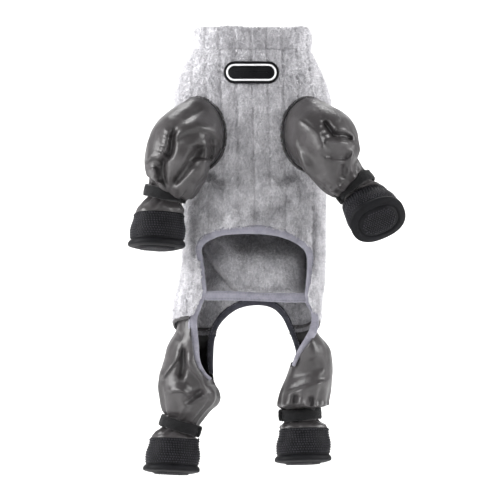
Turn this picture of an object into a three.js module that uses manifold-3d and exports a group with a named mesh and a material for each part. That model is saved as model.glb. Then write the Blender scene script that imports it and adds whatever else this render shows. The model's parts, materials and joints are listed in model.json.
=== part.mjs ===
// A four-legged waterproof trouser suit with boots for a small dog, hung up by its collar with the belly side
// to the viewer. Millimetres, +Z up, +X to the viewer's right, -Y towards the viewer.
// The origin is the centre of the neck opening, at the top of the collar.
import * as THREE from "three";
import { mergeVertices } from "three/addons/utils/BufferGeometryUtils.js";
import Module from "manifold-3d";

const wasm = await Module();
wasm.setup();

// Cloth, rubber and the clearance between neighbours
const GAP = 0.3;
const FLEECE_WALL = 3;
const CLOTH_WALL = 1.6;
const BOOT_WALL = 2.4;

// Collar: a turned band of fleece
const COLLAR_WIDTH = 126;
const COLLAR_DEPTH = 88;
const COLLAR_HEIGHT = 25;
const COLLAR_WALL = 8;
const COLLAR_WAVE = 0.8;

// Torso
const CHEST_WIDTH = 170;
const CHEST_DEPTH = 122;
const BODY_LENGTH = 297;
const RIB_PITCH = 17;
const RIB_DEPTH = 1.6;
const BACK_FOLD = 42;
const HEM_RISE = 9;
const HEM_DROP = 20;

// Bindings, band and piping
const BINDING_WIDTH = 10;
const BINDING_THICKNESS = 4;
const BAND_WIDTH = 10;
const BAND_THICKNESS = 2.6;
const PIPING_RADIUS = 1.7;

// Legs, straps and boots
const ARMHOLE_WIDTH = 64;
const ARMHOLE_HEIGHT = 80;
const SLEEVE_WIDTH = 66;
const SLEEVE_LENGTH = 75;
const LEG_LENGTH = 108;
const LEG_WIDTH = 58;
const ANKLE_WIDTH = 40;
const ANKLE_DEPTH = 30;
const STRAP_WIDTH = 12;
const STRAP_THICKNESS = 3;
const SHAFT_LENGTH = 17;
const TAB_LENGTH = 13;
const TAB_MARGIN = 0.5;
const BOOT_LENGTH = 60;
const BOOT_WIDTH = 50;
const BOOT_HEIGHT = 29;
const SOLE_THICKNESS = 8;
const TREAD_DEPTH = 1.2;

// Label
const LABEL_WIDTH = 61;
const LABEL_HEIGHT = 24.5;
const LABEL_THICKNESS = 2.6;
const LABEL_LINE = 2;
const LABEL_LINE_HEIGHT = 0.8;
const LABEL_MARGIN = 3;
const LABEL_DROP = 51;
const LABEL_LIFT = 1.2;

const HALF_CHEST = CHEST_WIDTH / 2;
const BODY_TOP = -COLLAR_HEIGHT;
const HEM = BODY_TOP - BODY_LENGTH;
const CLEAR_OF_BODY = 2 * CHEST_DEPTH;

const V = (x, y, z) => new THREE.Vector3(x, y, z);
const { lerp, clamp } = THREE.MathUtils;
const smooth = (low, high, value) => THREE.MathUtils.smoothstep(value, low, high);
const atDepth = (down) => BODY_TOP - down * BODY_LENGTH;

// Solids from rings of points

// Joins each ring to the next. Closed rings return to the first one; open ones are capped by fans.
function ringGeometry(rings, closed) {
  const count = rings[0].length;
  const points = rings.flat();
  const faces = [];
  const stretches = closed ? rings.length : rings.length - 1;
  for (let i = 0; i < stretches; i++) {
    const a = i * count;
    const b = ((i + 1) % rings.length) * count;
    for (let j = 0; j < count; j++) {
      const k = (j + 1) % count;
      faces.push([a + j, a + k, b + k], [a + j, b + k, b + j]);
    }
  }
  if (!closed) {
    const last = (rings.length - 1) * count;
    const first = points.push(middle(rings[0])) - 1;
    const end = points.push(middle(rings.at(-1))) - 1;
    for (let j = 0; j < count; j++) {
      const k = (j + 1) % count;
      faces.push([first, k, j], [end, last + j, last + k]);
    }
  }
  return facing(points, faces);
}

// A geometry whose faces point out, whichever way its rings ran.
function facing(points, faces) {
  const volume = faces.reduce(
    (sum, [a, b, c]) => sum + points[a].dot(V().crossVectors(points[b], points[c])),
    0,
  );
  const turned = volume < 0 ? faces.map(([a, b, c]) => [a, c, b]) : faces;
  return new THREE.BufferGeometry().setFromPoints(points).setIndex(turned.flat());
}

function middle(ring) {
  return ring.reduce((sum, p) => sum.add(p), V(0, 0, 0)).divideScalar(ring.length);
}

// Moves a ring's points towards its middle
function inset(ring, wall) {
  const centre = middle(ring);
  return ring.map((p) => p.clone().addScaledVector(p.clone().sub(centre).normalize(), -wall));
}

// A tube open at both ends, whose outside runs through the rings.
function tube(rings, wall) {
  return ringGeometry([...rings, ...rings.map((r) => inset(r, wall)).reverse()], true);
}

function toSolid(geometry) {
  const bare = geometry.clone();
  bare.deleteAttribute("normal");
  bare.deleteAttribute("uv");
  const merged = mergeVertices(bare, 1e-4);
  return new wasm.Manifold(
    new wasm.Mesh({
      numProp: 3,
      vertProperties: new Float32Array(merged.attributes.position.array),
      triVerts: new Uint32Array(merged.index.array),
    }),
  );
}

// The largest body of a solid: a trim can leave a crumb of cloth behind.
function toGeometry(solid) {
  const largest = solid.decompose().reduce((a, b) => (b.volume() > a.volume() ? b : a));
  const { vertProperties, triVerts, numProp } = largest.getMesh();
  const geometry = new THREE.BufferGeometry();
  geometry.setAttribute("position", new THREE.BufferAttribute(vertProperties, numProp));
  return geometry.setIndex(new THREE.BufferAttribute(triVerts, 1));
}

function trimmed(geometry, ...cutters) {
  return toGeometry(cutters.reduce((left, c) => left.subtract(toSolid(c)), toSolid(geometry)));
}

function joined(...geometries) {
  return toGeometry(geometries.map(toSolid).reduce((a, b) => a.add(b)));
}

// A closed outline of the front view, run through the cloth from one depth to another.
function throughCut(outline, fromY, toY) {
  const near = outline.map(([x, z]) => V(x, fromY, z));
  const shape = new THREE.Shape(near.map((p) => new THREE.Vector2(p.x, p.z)));
  const cut = new THREE.ExtrudeGeometry(shape, { depth: toY - fromY, bevelEnabled: false, steps: 1 });
  return cut.rotateX(Math.PI / 2).translate(0, toY, 0);
}

// A smooth curve through the rows of a table: the column's value at a share of the length.
function column(rows, name, share) {
  const last = rows.length - 1;
  const next = rows.findIndex((r) => r.down > share);
  const i = next < 0 ? last - 1 : Math.max(0, next - 1);
  const [p0, p1, p2, p3] = [i - 1, i, i + 1, i + 2].map((k) => rows[clamp(k, 0, last)]);
  const step = p2.down - p1.down;
  const t = clamp((share - p1.down) / step, 0, 1);
  const slope = (a, b) => (b.down === a.down ? 0 : (b[name] - a[name]) / (b.down - a.down));
  const m1 = slope(p0, p2) * step;
  const m2 = slope(p1, p3) * step;
  const rise = p2[name] - p1[name];
  return p1[name] + t * (m1 + t * (3 * rise - 2 * m1 - m2 + t * (m1 + m2 - 2 * rise)));
}

// Pushes the side towards the viewer out, or in, along each fold it lies near. The push fades out
// towards the middle of the depth.
const FOLD_EASE = 8;
function folded(point, folds, middleY) {
  const weight = clamp((middleY - point.y) / FOLD_EASE, 0, 1);
  const flat = new THREE.Vector2(point.x, point.z);
  for (const { x1, z1, x2, z2, width, push } of folds) {
    const from = new THREE.Vector2(x1, z1);
    const along = new THREE.Vector2(x2, z2).sub(from);
    const t = clamp(flat.clone().sub(from).dot(along) / along.lengthSq(), 0, 1);
    const away = flat.distanceTo(from.addScaledVector(along, t)) / width;
    point.y -= weight * push * Math.exp(-away * away);
  }
  return point;
}

// The torso's sections: down is a share of the body's length, width and shift of the chest's width,
// front and back of the chest's depth.
const BODY_ROWS = [
  {
    down: 0,
    width: COLLAR_WIDTH / CHEST_WIDTH,
    shift: 0,
    front: COLLAR_DEPTH / CHEST_DEPTH / 2,
    back: COLLAR_DEPTH / CHEST_DEPTH / 2,
  },
  { down: 0.035, width: 0.815, shift: -0.004, front: 0.4, back: 0.42 },
  { down: 0.091, width: 0.909, shift: -0.004, front: 0.44, back: 0.46 },
  { down: 0.146, width: 0.977, shift: -0.002, front: 0.46, back: 0.49 },
  { down: 0.194, width: 1, shift: 0.003, front: 0.475, back: 0.5 },
  { down: 0.276, width: 0.97, shift: 0.006, front: 0.48, back: 0.51 },
  { down: 0.369, width: 0.938, shift: 0.01, front: 0.47, back: 0.51 },
  { down: 0.45, width: 0.916, shift: 0.013, front: 0.45, back: 0.5 },
  { down: 0.517, width: 0.912, shift: 0.016, front: 0.44, back: 0.49 },
  { down: 0.609, width: 0.91, shift: 0.015, front: 0.43, back: 0.49 },
  { down: 0.683, width: 0.912, shift: 0.013, front: 0.42, back: 0.48 },
  { down: 0.769, width: 0.915, shift: 0.011, front: 0.42, back: 0.47 },
  { down: 0.861, width: 0.93, shift: -0.002, front: 0.41, back: 0.46 },
  { down: 0.909, width: 0.945, shift: -0.021, front: 0.41, back: 0.46 },
  { down: 1, width: 0.955, shift: -0.036, front: 0.41, back: 0.46 },
];
const BODY_LEVELS = [0, 0.06, 0.14, 0.23, 0.34, 0.44, 0.5, 0.56, 0.66, 0.76, 0.84, 0.9, 1];
const SECTION_POWER = 2.3;
const SECTION_STEPS = 90;
const CHANNELS_A_SIDE = 11;
const EVEN_CHANNELS = 7;

// The soft folds of the chest: ends as shares of the half chest and of the body's length below the
// collar, width and push as shares of the rib pitch.
const BODY_FOLDS = [
  { x1: -0.5, down1: 0.455, x2: -0.3, down2: 0.5, width: 0.5, push: -0.4 },
  { x1: 0.58, down1: 0.46, x2: 0.4, down2: 0.49, width: 0.5, push: -0.38 },
  { x1: -0.3, down1: 0.54, x2: 0.52, down2: 0.49, width: 0.75, push: 0.36 },
  { x1: 0, down1: 0.6, x2: 0.56, down2: 0.55, width: 0.55, push: -0.3 },
].map((fold) => ({
  x1: fold.x1 * HALF_CHEST,
  z1: atDepth(fold.down1),
  x2: fold.x2 * HALF_CHEST,
  z2: atDepth(fold.down2),
  width: fold.width * RIB_PITCH,
  push: fold.push * RIB_PITCH,
}));

function section(down) {
  return {
    halfWidth: (column(BODY_ROWS, "width", down) * CHEST_WIDTH) / 2,
    shift: column(BODY_ROWS, "shift", down) * CHEST_WIDTH,
    front: column(BODY_ROWS, "front", down) * CHEST_DEPTH,
    back: column(BODY_ROWS, "back", down) * CHEST_DEPTH,
  };
}

// One half of a section from the front centre round to the back centre, with the length run so far.
function halfSection(down, side) {
  const { halfWidth, shift, front, back } = section(down);
  const line = [];
  let arc = 0;
  for (let i = 0; i <= SECTION_STEPS; i++) {
    const angle = (Math.PI * i) / SECTION_STEPS;
    const across = Math.abs(Math.sin(angle)) ** (2 / SECTION_POWER);
    const deep = Math.abs(Math.cos(angle)) ** (2 / SECTION_POWER);
    const x = shift + side * halfWidth * across;
    const y = Math.cos(angle) > 0 ? -front * deep : back * deep;
    if (i) arc += Math.hypot(x - line[i - 1].x, y - line[i - 1].y);
    line.push({ x, y, arc });
  }
  return line;
}

// A point of the torso's skin. Arc is run from the front centre, positive to the right.
function bodyPoint(arc, z, line = halfSection((BODY_TOP - z) / BODY_LENGTH, Math.sign(arc) || 1)) {
  const run = Math.abs(arc);
  const next = line.findIndex((p) => p.arc >= run);
  const at = next < 0 ? line.length - 1 : Math.max(1, next);
  const [a, b] = [line[at - 1], line[at]];
  const t = clamp((run - a.arc) / (b.arc - a.arc), 0, 1);
  return folded(V(lerp(a.x, b.x, t), lerp(a.y, b.y, t), z), BODY_FOLDS, 0);
}

// The lower edge of the fleece runs up towards the front of each hip and down behind it.
function hemShift(y) {
  const share = clamp(y / (0.4 * CHEST_DEPTH), -1, 1);
  return share < 0 ? -HEM_RISE * share : -HEM_DROP * share;
}

// The inside of the back sags into a fold that rests on the belly band.
function backFold(x, y, down) {
  const { back } = section(down);
  const behind = clamp(y / back, 0, 1) ** 2;
  const across = 1 - smooth(0.3, 0.85, Math.abs(x / HALF_CHEST - 0.05));
  const lengthways = smooth(0.55, 0.85, down) * (1 - 0.3 * smooth(0.86, 0.95, down));
  return -BACK_FOLD * behind * across * lengthways;
}

// A ring of the torso, quilted into channels of one pitch in front and of what is left behind.
function bodyRing(down, grow = 0, quilted = true) {
  const z = atDepth(down);
  const right = [];
  const left = [];
  for (const side of [1, -1]) {
    const line = halfSection(down, side);
    const half = line.at(-1).arc;
    for (let k = 0; k <= 2 * CHANNELS_A_SIDE; k++) {
      const even = (Math.min(k, 2 * EVEN_CHANNELS) * RIB_PITCH) / 2;
      const rest = Math.max(0, k - 2 * EVEN_CHANNELS) / (2 * (CHANNELS_A_SIDE - EVEN_CHANNELS));
      const arc = even + rest * (half - even);
      const p = bodyPoint(side * Math.max(arc, 1e-6), z, line);
      const groove = quilted && k % 2 === 0 ? RIB_DEPTH : 0;
      const fold = backFold(p.x, p.y, down);
      p.addScaledVector(V(p.x, 1.3 * p.y, 0).normalize(), grow - groove);
      p.y += fold;
      p.z += hemShift(p.y) * smooth(0.85, 1, down);
      (side > 0 ? right : left).push(p);
    }
  }
  return [...right.slice(0, -1), ...left.slice(1).reverse()];
}

function bodyShell() {
  const levels = BODY_LEVELS.map((down, i) => (i ? down : GAP / BODY_LENGTH));
  const outside = levels.map((down) => bodyRing(down));
  const inside = levels.map((down) => bodyRing(down, -FLEECE_WALL));
  return ringGeometry([...outside, ...inside.reverse()], true);
}

// The torso filled up, for measuring its skin
function bodySkin() {
  return ringGeometry(BODY_LEVELS.map((down) => bodyRing(down, 0, false)), false);
}

// The collar's edge, from the foot of its outside over the rim to the foot of its inside: in is a share
// of the collar's wall, up of its height.
const COLLAR_PROFILE = [
  { in: 0.05, up: 0 },
  { in: -0.15, up: 0.5 },
  { in: 0.15, up: 0.9 },
  { in: 0.7, up: 1 },
  { in: 1, up: 0 },
];

function collar() {
  const rings = COLLAR_PROFILE.map((row) =>
    bodyRing(0, -row.in * COLLAR_WALL, row.in < 0.1).map((p, j) => {
      const wave = COLLAR_WAVE * Math.sin(j * 0.65) * row.up;
      return V(p.x, p.y, BODY_TOP + row.up * (COLLAR_HEIGHT - COLLAR_WAVE) + wave);
    }),
  );
  return ringGeometry(rings, true);
}

// Frames: a centre with the directions of a section's width, its depth and the way it runs.
function frameOf(centre, run, across) {
  const w = run.clone().normalize();
  const u = across.clone().addScaledVector(w, -across.dot(w)).normalize();
  return { centre, u, v: V().crossVectors(w, u), w };
}

function moved(frame, distance) {
  return { ...frame, centre: frame.centre.clone().addScaledVector(frame.w, distance) };
}

function ovalRing(frame, halfU, halfV, count = SIDES, power = 2) {
  return Array.from({ length: count }, (_, j) => {
    const angle = (2 * Math.PI * j) / count;
    const c = Math.cos(angle);
    const s = Math.sin(angle);
    return frame.centre
      .clone()
      .addScaledVector(frame.u, halfU * Math.sign(c) * Math.abs(c) ** (2 / power))
      .addScaledVector(frame.v, halfV * Math.sign(s) * Math.abs(s) ** (2 / power));
  });
}

// Renumbers a ring so that a skin between it and another one isn't twisted.
function aligned(ring, other) {
  const numbered = (from, way) =>
    ring.map((_, j) => ring[(from + way * j + 4 * ring.length) % ring.length]);
  const cost = (made) => made.reduce((sum, p, j) => sum + p.distanceToSquared(other[j]), 0);
  const choices = [1, -1].flatMap((way) => ring.map((_, from) => numbered(from, way)));
  return choices.reduce((best, made) => (cost(made) < cost(best) ? made : best));
}

const SIDES = 16;

// Where each leg ends. For a front leg, fall runs from the armhole's middle to the strap's, in lengths of
// the sleeve; for a hind leg it runs from the torso's middle at the hem, in widths and lengths of the leg.
// Foot runs from the strap's middle to the sole's, in lengths of the lower leg. Run, across, faces and toe
// are directions: down through the strap, across it, out of the sole, and along the boot.
const LEGS = {
  front_left: {
    fall: [-0.52, -0.14, -0.867],
    run: [-0.2, 0, -0.98],
    across: [0.98, 0, -0.2],
    foot: [-0.176, -0.148, -1.093],
    faces: [-0.02, -0.16, -0.98],
    toe: [-0.94, -0.34, 0.13],
  },
  front_right: {
    fall: [0.708, -0.308, -0.773],
    run: [0.58, -0.3, -0.76],
    across: [0.81, 0, 0.58],
    foot: [0.463, -0.556, -0.685],
    faces: [0.27, -0.81, -0.52],
    toe: [0.9, 0.05, 0.38],
  },
  hind_left: {
    fall: [-1.362, 0.034, -1.069],
    run: [-0.3, 0, -0.95],
    across: [0.95, 0, -0.3],
    foot: [-0.185, -0.111, -0.954],
    faces: [-0.04, -0.1, -0.99],
    toe: [-0.96, -0.3, 0.05],
  },
  hind_right: {
    fall: [0.914, 0.034, -0.954],
    run: [0.06, 0, -1],
    across: [1, 0, 0.06],
    foot: [0.056, -0.111, -0.981],
    faces: [0.03, -0.1, -0.99],
    toe: [-0.97, -0.25, 0.03],
  },
};

// The armholes' middles on the torso's skin: arc in half chests from the front centre
const ARMHOLES = {
  front_left: { side: -1, arc: 0.73, down: 0.313 },
  front_right: { side: 1, arc: 0.741, down: 0.313 },
};

// The armhole's edge on the torso's skin
function armholeRing(name, grow, count = SIDES) {
  const { side, arc, down } = ARMHOLES[name];
  return Array.from({ length: count }, (_, j) => {
    const angle = (2 * Math.PI * j) / count;
    const across = (ARMHOLE_WIDTH / 2 + grow) * Math.cos(angle);
    const up = (ARMHOLE_HEIGHT / 2 + grow) * Math.sin(angle);
    return bodyPoint(side * (arc * HALF_CHEST + across), atDepth(down) + up);
  });
}

function ankleFrame(name) {
  const { fall, run, across } = LEGS[name];
  const centre =
    name in ARMHOLES
      ? V(...fall).multiplyScalar(SLEEVE_LENGTH).add(middle(armholeRing(name, 0)))
      : V(fall[0] * LEG_WIDTH, fall[1] * LEG_WIDTH, HEM + fall[2] * LEG_LENGTH);
  return frameOf(centre, V(...run), V(...across));
}

function bootFrame(name) {
  const { foot, faces, toe } = LEGS[name];
  const lowerLeg = SHAFT_LENGTH + BOOT_HEIGHT + SOLE_THICKNESS;
  const centre = V(...foot).multiplyScalar(lowerLeg).add(ankleFrame(name).centre);
  return frameOf(centre, V(...faces), V(...toe));
}

// A boot's outline at a height above the underside of its sole
function bootRing(name, height, grow) {
  const share = height / (BOOT_HEIGHT + SOLE_THICKNESS);
  const taper = 1 - 0.1 * share * share;
  const toe = moved(bootFrame(name), -height);
  toe.centre.addScaledVector(toe.u, -0.04 * BOOT_LENGTH * share);
  return ovalRing(toe, (BOOT_LENGTH / 2) * taper + grow, (BOOT_WIDTH / 2) * taper + grow, SIDES, 2.4);
}

// The upper's outside from its rim to the sole: up is a share of its height, grow of its wall.
const UPPER_PROFILE = [
  { up: 1, grow: 0 },
  { up: 0.82, grow: -0.4 },
  { up: 0.4, grow: 0.12 },
  { up: 0, grow: -0.6 },
];
function bootUpper(name) {
  const top = SOLE_THICKNESS + BOOT_HEIGHT;
  const foot = SOLE_THICKNESS + GAP;
  const inside = [
    bootRing(name, foot + BOOT_WALL, -BOOT_WALL),
    bootRing(name, top, -1.4 * BOOT_WALL),
  ];
  const outside = UPPER_PROFILE.map(({ up, grow }) => bootRing(name, lerp(foot, top, up), grow * BOOT_WALL));
  return ringGeometry([...inside, ...outside], false);
}

// The sole: a slab with a raised rim round a sunk tread. Up and grow are shares of its thickness.
const SOLE_PROFILE = [
  { up: 1, grow: -0.12 },
  { up: 0.7, grow: 0.1 },
  { up: 0.2, grow: 0.08 },
  { up: 0, grow: -0.2 },
  { up: 0, grow: -0.5 },
  { up: TREAD_DEPTH / SOLE_THICKNESS, grow: -0.65 },
];
function bootSole(name) {
  const rings = SOLE_PROFILE.map(({ up, grow }) => bootRing(name, up * SOLE_THICKNESS, grow * SOLE_THICKNESS));
  return ringGeometry(rings, false);
}

// The stretch of waterproof cloth between strap and boot
function bootShaft(name) {
  const ankle = ankleFrame(name);
  const around = (d) => ovalRing(moved(ankle, d), ANKLE_WIDTH / 2, ANKLE_DEPTH / 2);
  const top = around(GAP / 2);
  const below = around(STRAP_WIDTH / 2 + 3 * GAP);
  const foot = aligned(bootRing(name, SOLE_THICKNESS + BOOT_HEIGHT + GAP, -CLOTH_WALL / 2), below);
  const puffed = inset(below.map((p, j) => p.clone().lerp(foot[j], 0.55)), -1.5 * CLOTH_WALL);
  return tube([top, below, puffed, foot], CLOTH_WALL);
}

// A strap round the ankle, whose free end stands off at one side
const TAB_SIDES = { front_left: 1, front_right: -1, hind_left: 1, hind_right: -1 };
function strap(name) {
  const ankle = ankleFrame(name);
  const edges = [-STRAP_WIDTH / 2, STRAP_WIDTH / 2];
  const around = (d, grow) =>
    ovalRing(moved(ankle, d), ANKLE_WIDTH / 2 + GAP + grow, ANKLE_DEPTH / 2 + GAP + grow);
  const outside = edges.map((d) => around(d, STRAP_THICKNESS));
  const inside = edges.map((d) => around(d, 0)).reverse();
  const band = ringGeometry([...outside, ...inside], true);
  const tab = new THREE.BoxGeometry(STRAP_THICKNESS, TAB_LENGTH, STRAP_WIDTH - 2 * TAB_MARGIN);
  const seat = ankle.centre
    .clone()
    .addScaledVector(ankle.u, TAB_SIDES[name] * (ANKLE_WIDTH / 2 + GAP + STRAP_THICKNESS / 2))
    .addScaledVector(ankle.v, (ankle.v.y < 0 ? 1 : -1) * (TAB_LENGTH / 2 - STRAP_THICKNESS));
  tab.applyMatrix4(new THREE.Matrix4().makeBasis(ankle.u, ankle.v, ankle.w).setPosition(seat));
  return joined(band, tab);
}

// Front legs. Down is a share of the way from the armhole to the ankle. The sections' middles stand off
// the straight line between them by x, y and z; these, width and depth are shares of the sleeve's width.
const SLEEVE_ROWS = {
  front_left: [
    { down: 0, x: 0, y: 0, z: 0, width: 1, depth: 1 },
    { down: 0.2, x: -0.16, y: -0.26, z: 0.12, width: 1.16, depth: 1 },
    { down: 0.4, x: -0.13, y: -0.33, z: 0.106, width: 1.16, depth: 0.9 },
    { down: 0.6, x: -0.05, y: -0.28, z: 0.08, width: 1.12, depth: 0.8 },
    { down: 0.75, x: 0.007, y: -0.2, z: 0.07, width: 1.04, depth: 0.72 },
    { down: 0.88, x: 0.05, y: -0.1, z: 0.04, width: 0.88, depth: 0.62 },
    { down: 1, x: 0, y: 0, z: 0, width: 0.61, depth: 0.45 },
  ],
  front_right: [
    { down: 0, x: 0, y: 0, z: 0, width: 1, depth: 1 },
    { down: 0.2, x: 0.1, y: -0.26, z: 0.15, width: 1.14, depth: 1 },
    { down: 0.4, x: 0.04, y: -0.32, z: 0.14, width: 1.1, depth: 0.9 },
    { down: 0.6, x: -0.06, y: -0.27, z: 0.1, width: 1.02, depth: 0.8 },
    { down: 0.75, x: -0.1, y: -0.18, z: 0.05, width: 0.84, depth: 0.7 },
    { down: 0.88, x: -0.07, y: -0.08, z: 0.03, width: 0.75, depth: 0.6 },
    { down: 1, x: 0, y: 0, z: 0, width: 0.61, depth: 0.45 },
  ],
};
const SLEEVE_LEVELS = [0.22, 0.34, 0.46, 0.58, 0.7, 0.8, 0.9];
// The sleeves' creases in the front view, from the armhole's middle: all are shares of the sleeve's width.
const SLEEVE_FOLDS = {
  front_left: [
    { x1: -0.42, z1: -0.1, x2: -0.6, z2: -0.8, width: 0.13, push: -0.12 },
    { x1: -0.05, z1: -0.42, x2: 0.2, z2: -0.1, width: 0.16, push: -0.14 },
    { x1: -0.4, z1: 0, x2: 0.15, z2: 0.12, width: 0.14, push: 0.08 },
  ],
  front_right: [
    { x1: 0.28, z1: 0.1, x2: 0.5, z2: -0.14, width: 0.14, push: -0.1 },
    { x1: 0.3, z1: -0.3, x2: 0.75, z2: -0.3, width: 0.13, push: 0.07 },
    { x1: -0.1, z1: -0.35, x2: 0.2, z2: -0.75, width: 0.14, push: 0.05 },
  ],
};

function armholeFrame(name) {
  const ring = armholeRing(name, 0);
  const across = ring[0].clone().sub(ring[SIDES / 2]);
  const up = ring[SIDES / 4].clone().sub(ring[(3 * SIDES) / 4]);
  const out = V().crossVectors(across, up).normalize();
  return { centre: middle(ring), across: across.normalize(), out: out.y > 0 ? out.negate() : out };
}

function sleeveRings(name) {
  const hole = armholeFrame(name);
  const ankle = ankleFrame(name);
  const rows = SLEEVE_ROWS[name];
  const span = ankle.centre.clone().sub(hole.centre);
  const folds = SLEEVE_FOLDS[name].map((fold) => ({
    x1: hole.centre.x + fold.x1 * SLEEVE_WIDTH,
    z1: hole.centre.z + fold.z1 * SLEEVE_WIDTH,
    x2: hole.centre.x + fold.x2 * SLEEVE_WIDTH,
    z2: hole.centre.z + fold.z2 * SLEEVE_WIDTH,
    width: fold.width * SLEEVE_WIDTH,
    push: fold.push * SLEEVE_WIDTH,
  }));
  const centreAt = (t) => {
    const offset = V(column(rows, "x", t), column(rows, "y", t), column(rows, "z", t));
    return hole.centre.clone().addScaledVector(span, t).addScaledVector(offset, SLEEVE_WIDTH);
  };
  const ankleAcross = ankle.u.clone().multiplyScalar(Math.sign(ankle.u.dot(hole.across)));
  const lifted = (grow, lift) => armholeRing(name, grow).map((p) => p.addScaledVector(hole.out, lift));
  const first = lifted(-PIPING_RADIUS - 3 * GAP, 2 * GAP);
  const start = lifted(0, 4 * PIPING_RADIUS);
  const rings = [first, start];
  for (const t of SLEEVE_LEVELS) {
    const centre = centreAt(t);
    const run = centreAt(Math.min(1, t + 0.08)).sub(centreAt(t - 0.08)).normalize();
    run.lerp(hole.out, 1 - smooth(0, 0.4, t));
    const across = hole.across.clone().lerp(ankleAcross, smooth(0.2, 1, t));
    const halfWidth = (column(rows, "width", t) * SLEEVE_WIDTH) / 2;
    const halfDepth = (column(rows, "depth", t) * SLEEVE_WIDTH) / 2;
    const ring = ovalRing(frameOf(centre, run, across), halfWidth, halfDepth);
    rings.push(aligned(ring, rings.at(-1)).map((p) => folded(p, folds, centre.y)));
  }
  for (const d of [-STRAP_WIDTH / 2, -GAP / 2]) {
    const ring = ovalRing(moved(ankle, d), ANKLE_WIDTH / 2, ANKLE_DEPTH / 2);
    rings.push(aligned(ring, rings.at(-1)));
  }
  return rings;
}

// A cutter through the torso's wall: the loop is carried inwards and outwards from the torso's middle line.
function wallCutter(ring, inwards, outwards) {
  const scaled = (k) => ring.map((p) => V(k * p.x, k * p.y, p.z));
  return ringGeometry([scaled(inwards), ring, scaled(outwards)], false);
}

// A closed loop of round cord
function cordLoop(points, radius, steps, sides = 5) {
  const curve = new THREE.CatmullRomCurve3(points, true, "centripetal");
  const { binormals, tangents } = curve.computeFrenetFrames(steps, true);
  const rings = tangents.slice(0, steps).map((tangent, i) => {
    const frame = frameOf(curve.getPointAt(i / steps), tangent, binormals[i]);
    return ovalRing(frame, radius, radius, sides);
  });
  return ringGeometry(rings, true);
}

// A round cord with two ends
function cordLine(points, radius, steps, sides = 5) {
  const curve = new THREE.CatmullRomCurve3(points, false, "centripetal");
  const { binormals, tangents } = curve.computeFrenetFrames(steps, false);
  const rings = tangents.map((tangent, i) => {
    const frame = frameOf(curve.getPointAt(i / steps), tangent, binormals[i]);
    return ovalRing(frame, radius, radius, sides);
  });
  return ringGeometry(rings, false);
}

const armholePiping = (name, grow = 0) => cordLoop(armholeRing(name, 0, 24), PIPING_RADIUS + grow, 24);

// Hind legs. Down is a share of the leg's length below the hem; x is the section's middle and half, front
// and back are its extents from there, as shares of the leg's width.
const LEG_ROWS = {
  hind_left: [
    { down: -0.08, x: -1.024, half: 0.455, front: 0.7, back: 0.86 },
    { down: 0.09, x: -1.095, half: 0.479, front: 0.66, back: 0.86 },
    { down: 0.25, x: -1.124, half: 0.488, front: 0.62, back: 0.8 },
    { down: 0.4, x: -1.166, half: 0.503, front: 0.58, back: 0.7 },
    { down: 0.53, x: -1.233, half: 0.522, front: 0.55, back: 0.62 },
    { down: 0.62, x: -1.252, half: 0.531, front: 0.54, back: 0.56 },
    { down: 0.69, x: -1.225, half: 0.565, front: 0.53, back: 0.54 },
    { down: 0.76, x: -1.185, half: 0.59, front: 0.52, back: 0.54 },
    { down: 0.84, x: -1.2, half: 0.57, front: 0.5, back: 0.5 },
    { down: 0.93, x: -1.261, half: 0.465, front: 0.42, back: 0.42 },
  ],
  hind_right: [
    { down: -0.08, x: 0.934, half: 0.365, front: 0.7, back: 0.86 },
    { down: 0.09, x: 1.015, half: 0.36, front: 0.66, back: 0.86 },
    { down: 0.25, x: 1.086, half: 0.384, front: 0.62, back: 0.8 },
    { down: 0.4, x: 1.128, half: 0.389, front: 0.57, back: 0.7 },
    { down: 0.55, x: 1.093, half: 0.43, front: 0.54, back: 0.62 },
    { down: 0.71, x: 1.011, half: 0.487, front: 0.53, back: 0.56 },
    { down: 0.81, x: 0.972, half: 0.507, front: 0.5, back: 0.52 },
    { down: 0.88, x: 0.963, half: 0.498, front: 0.48, back: 0.5 },
  ],
};
const LEG_LEVELS = {
  hind_left: [-0.065, 0.035, 0.13, 0.25, 0.4, 0.53, 0.63, 0.7, 0.77, 0.84, 0.92],
  hind_right: [-0.065, 0.035, 0.13, 0.25, 0.4, 0.55, 0.66, 0.77, 0.87],
};

// The creases of the hind legs in the front view: x from the body's middle and down from the hem.
const LEG_FOLDS = {
  hind_left: [
    { x1: -0.92, down1: 0.64, x2: -1.3, down2: 0.85, width: 0.12, push: -0.1 },
    { x1: -1.5, down1: 0.5, x2: -1.1, down2: 0.62, width: 0.12, push: 0.07 },
  ],
  hind_right: [
    { x1: 0.62, down1: 0.72, x2: 1.45, down2: 0.58, width: 0.1, push: -0.1 },
    { x1: 0.6, down1: 0.86, x2: 1.4, down2: 0.78, width: 0.1, push: 0.07 },
  ],
};

// Inside the fleece, as far as the leg's inner side
function withinHem(x, y, side, limit) {
  const { halfWidth, shift, front, back } = section(1);
  const room = FLEECE_WALL + RIB_DEPTH + 2 * GAP;
  const across = Math.abs((x - shift) / (halfWidth - room));
  const deep = Math.abs(y / ((y < 0 ? front : back) - room));
  return across ** SECTION_POWER + deep ** SECTION_POWER < 1 && side * x > side * limit;
}

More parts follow.
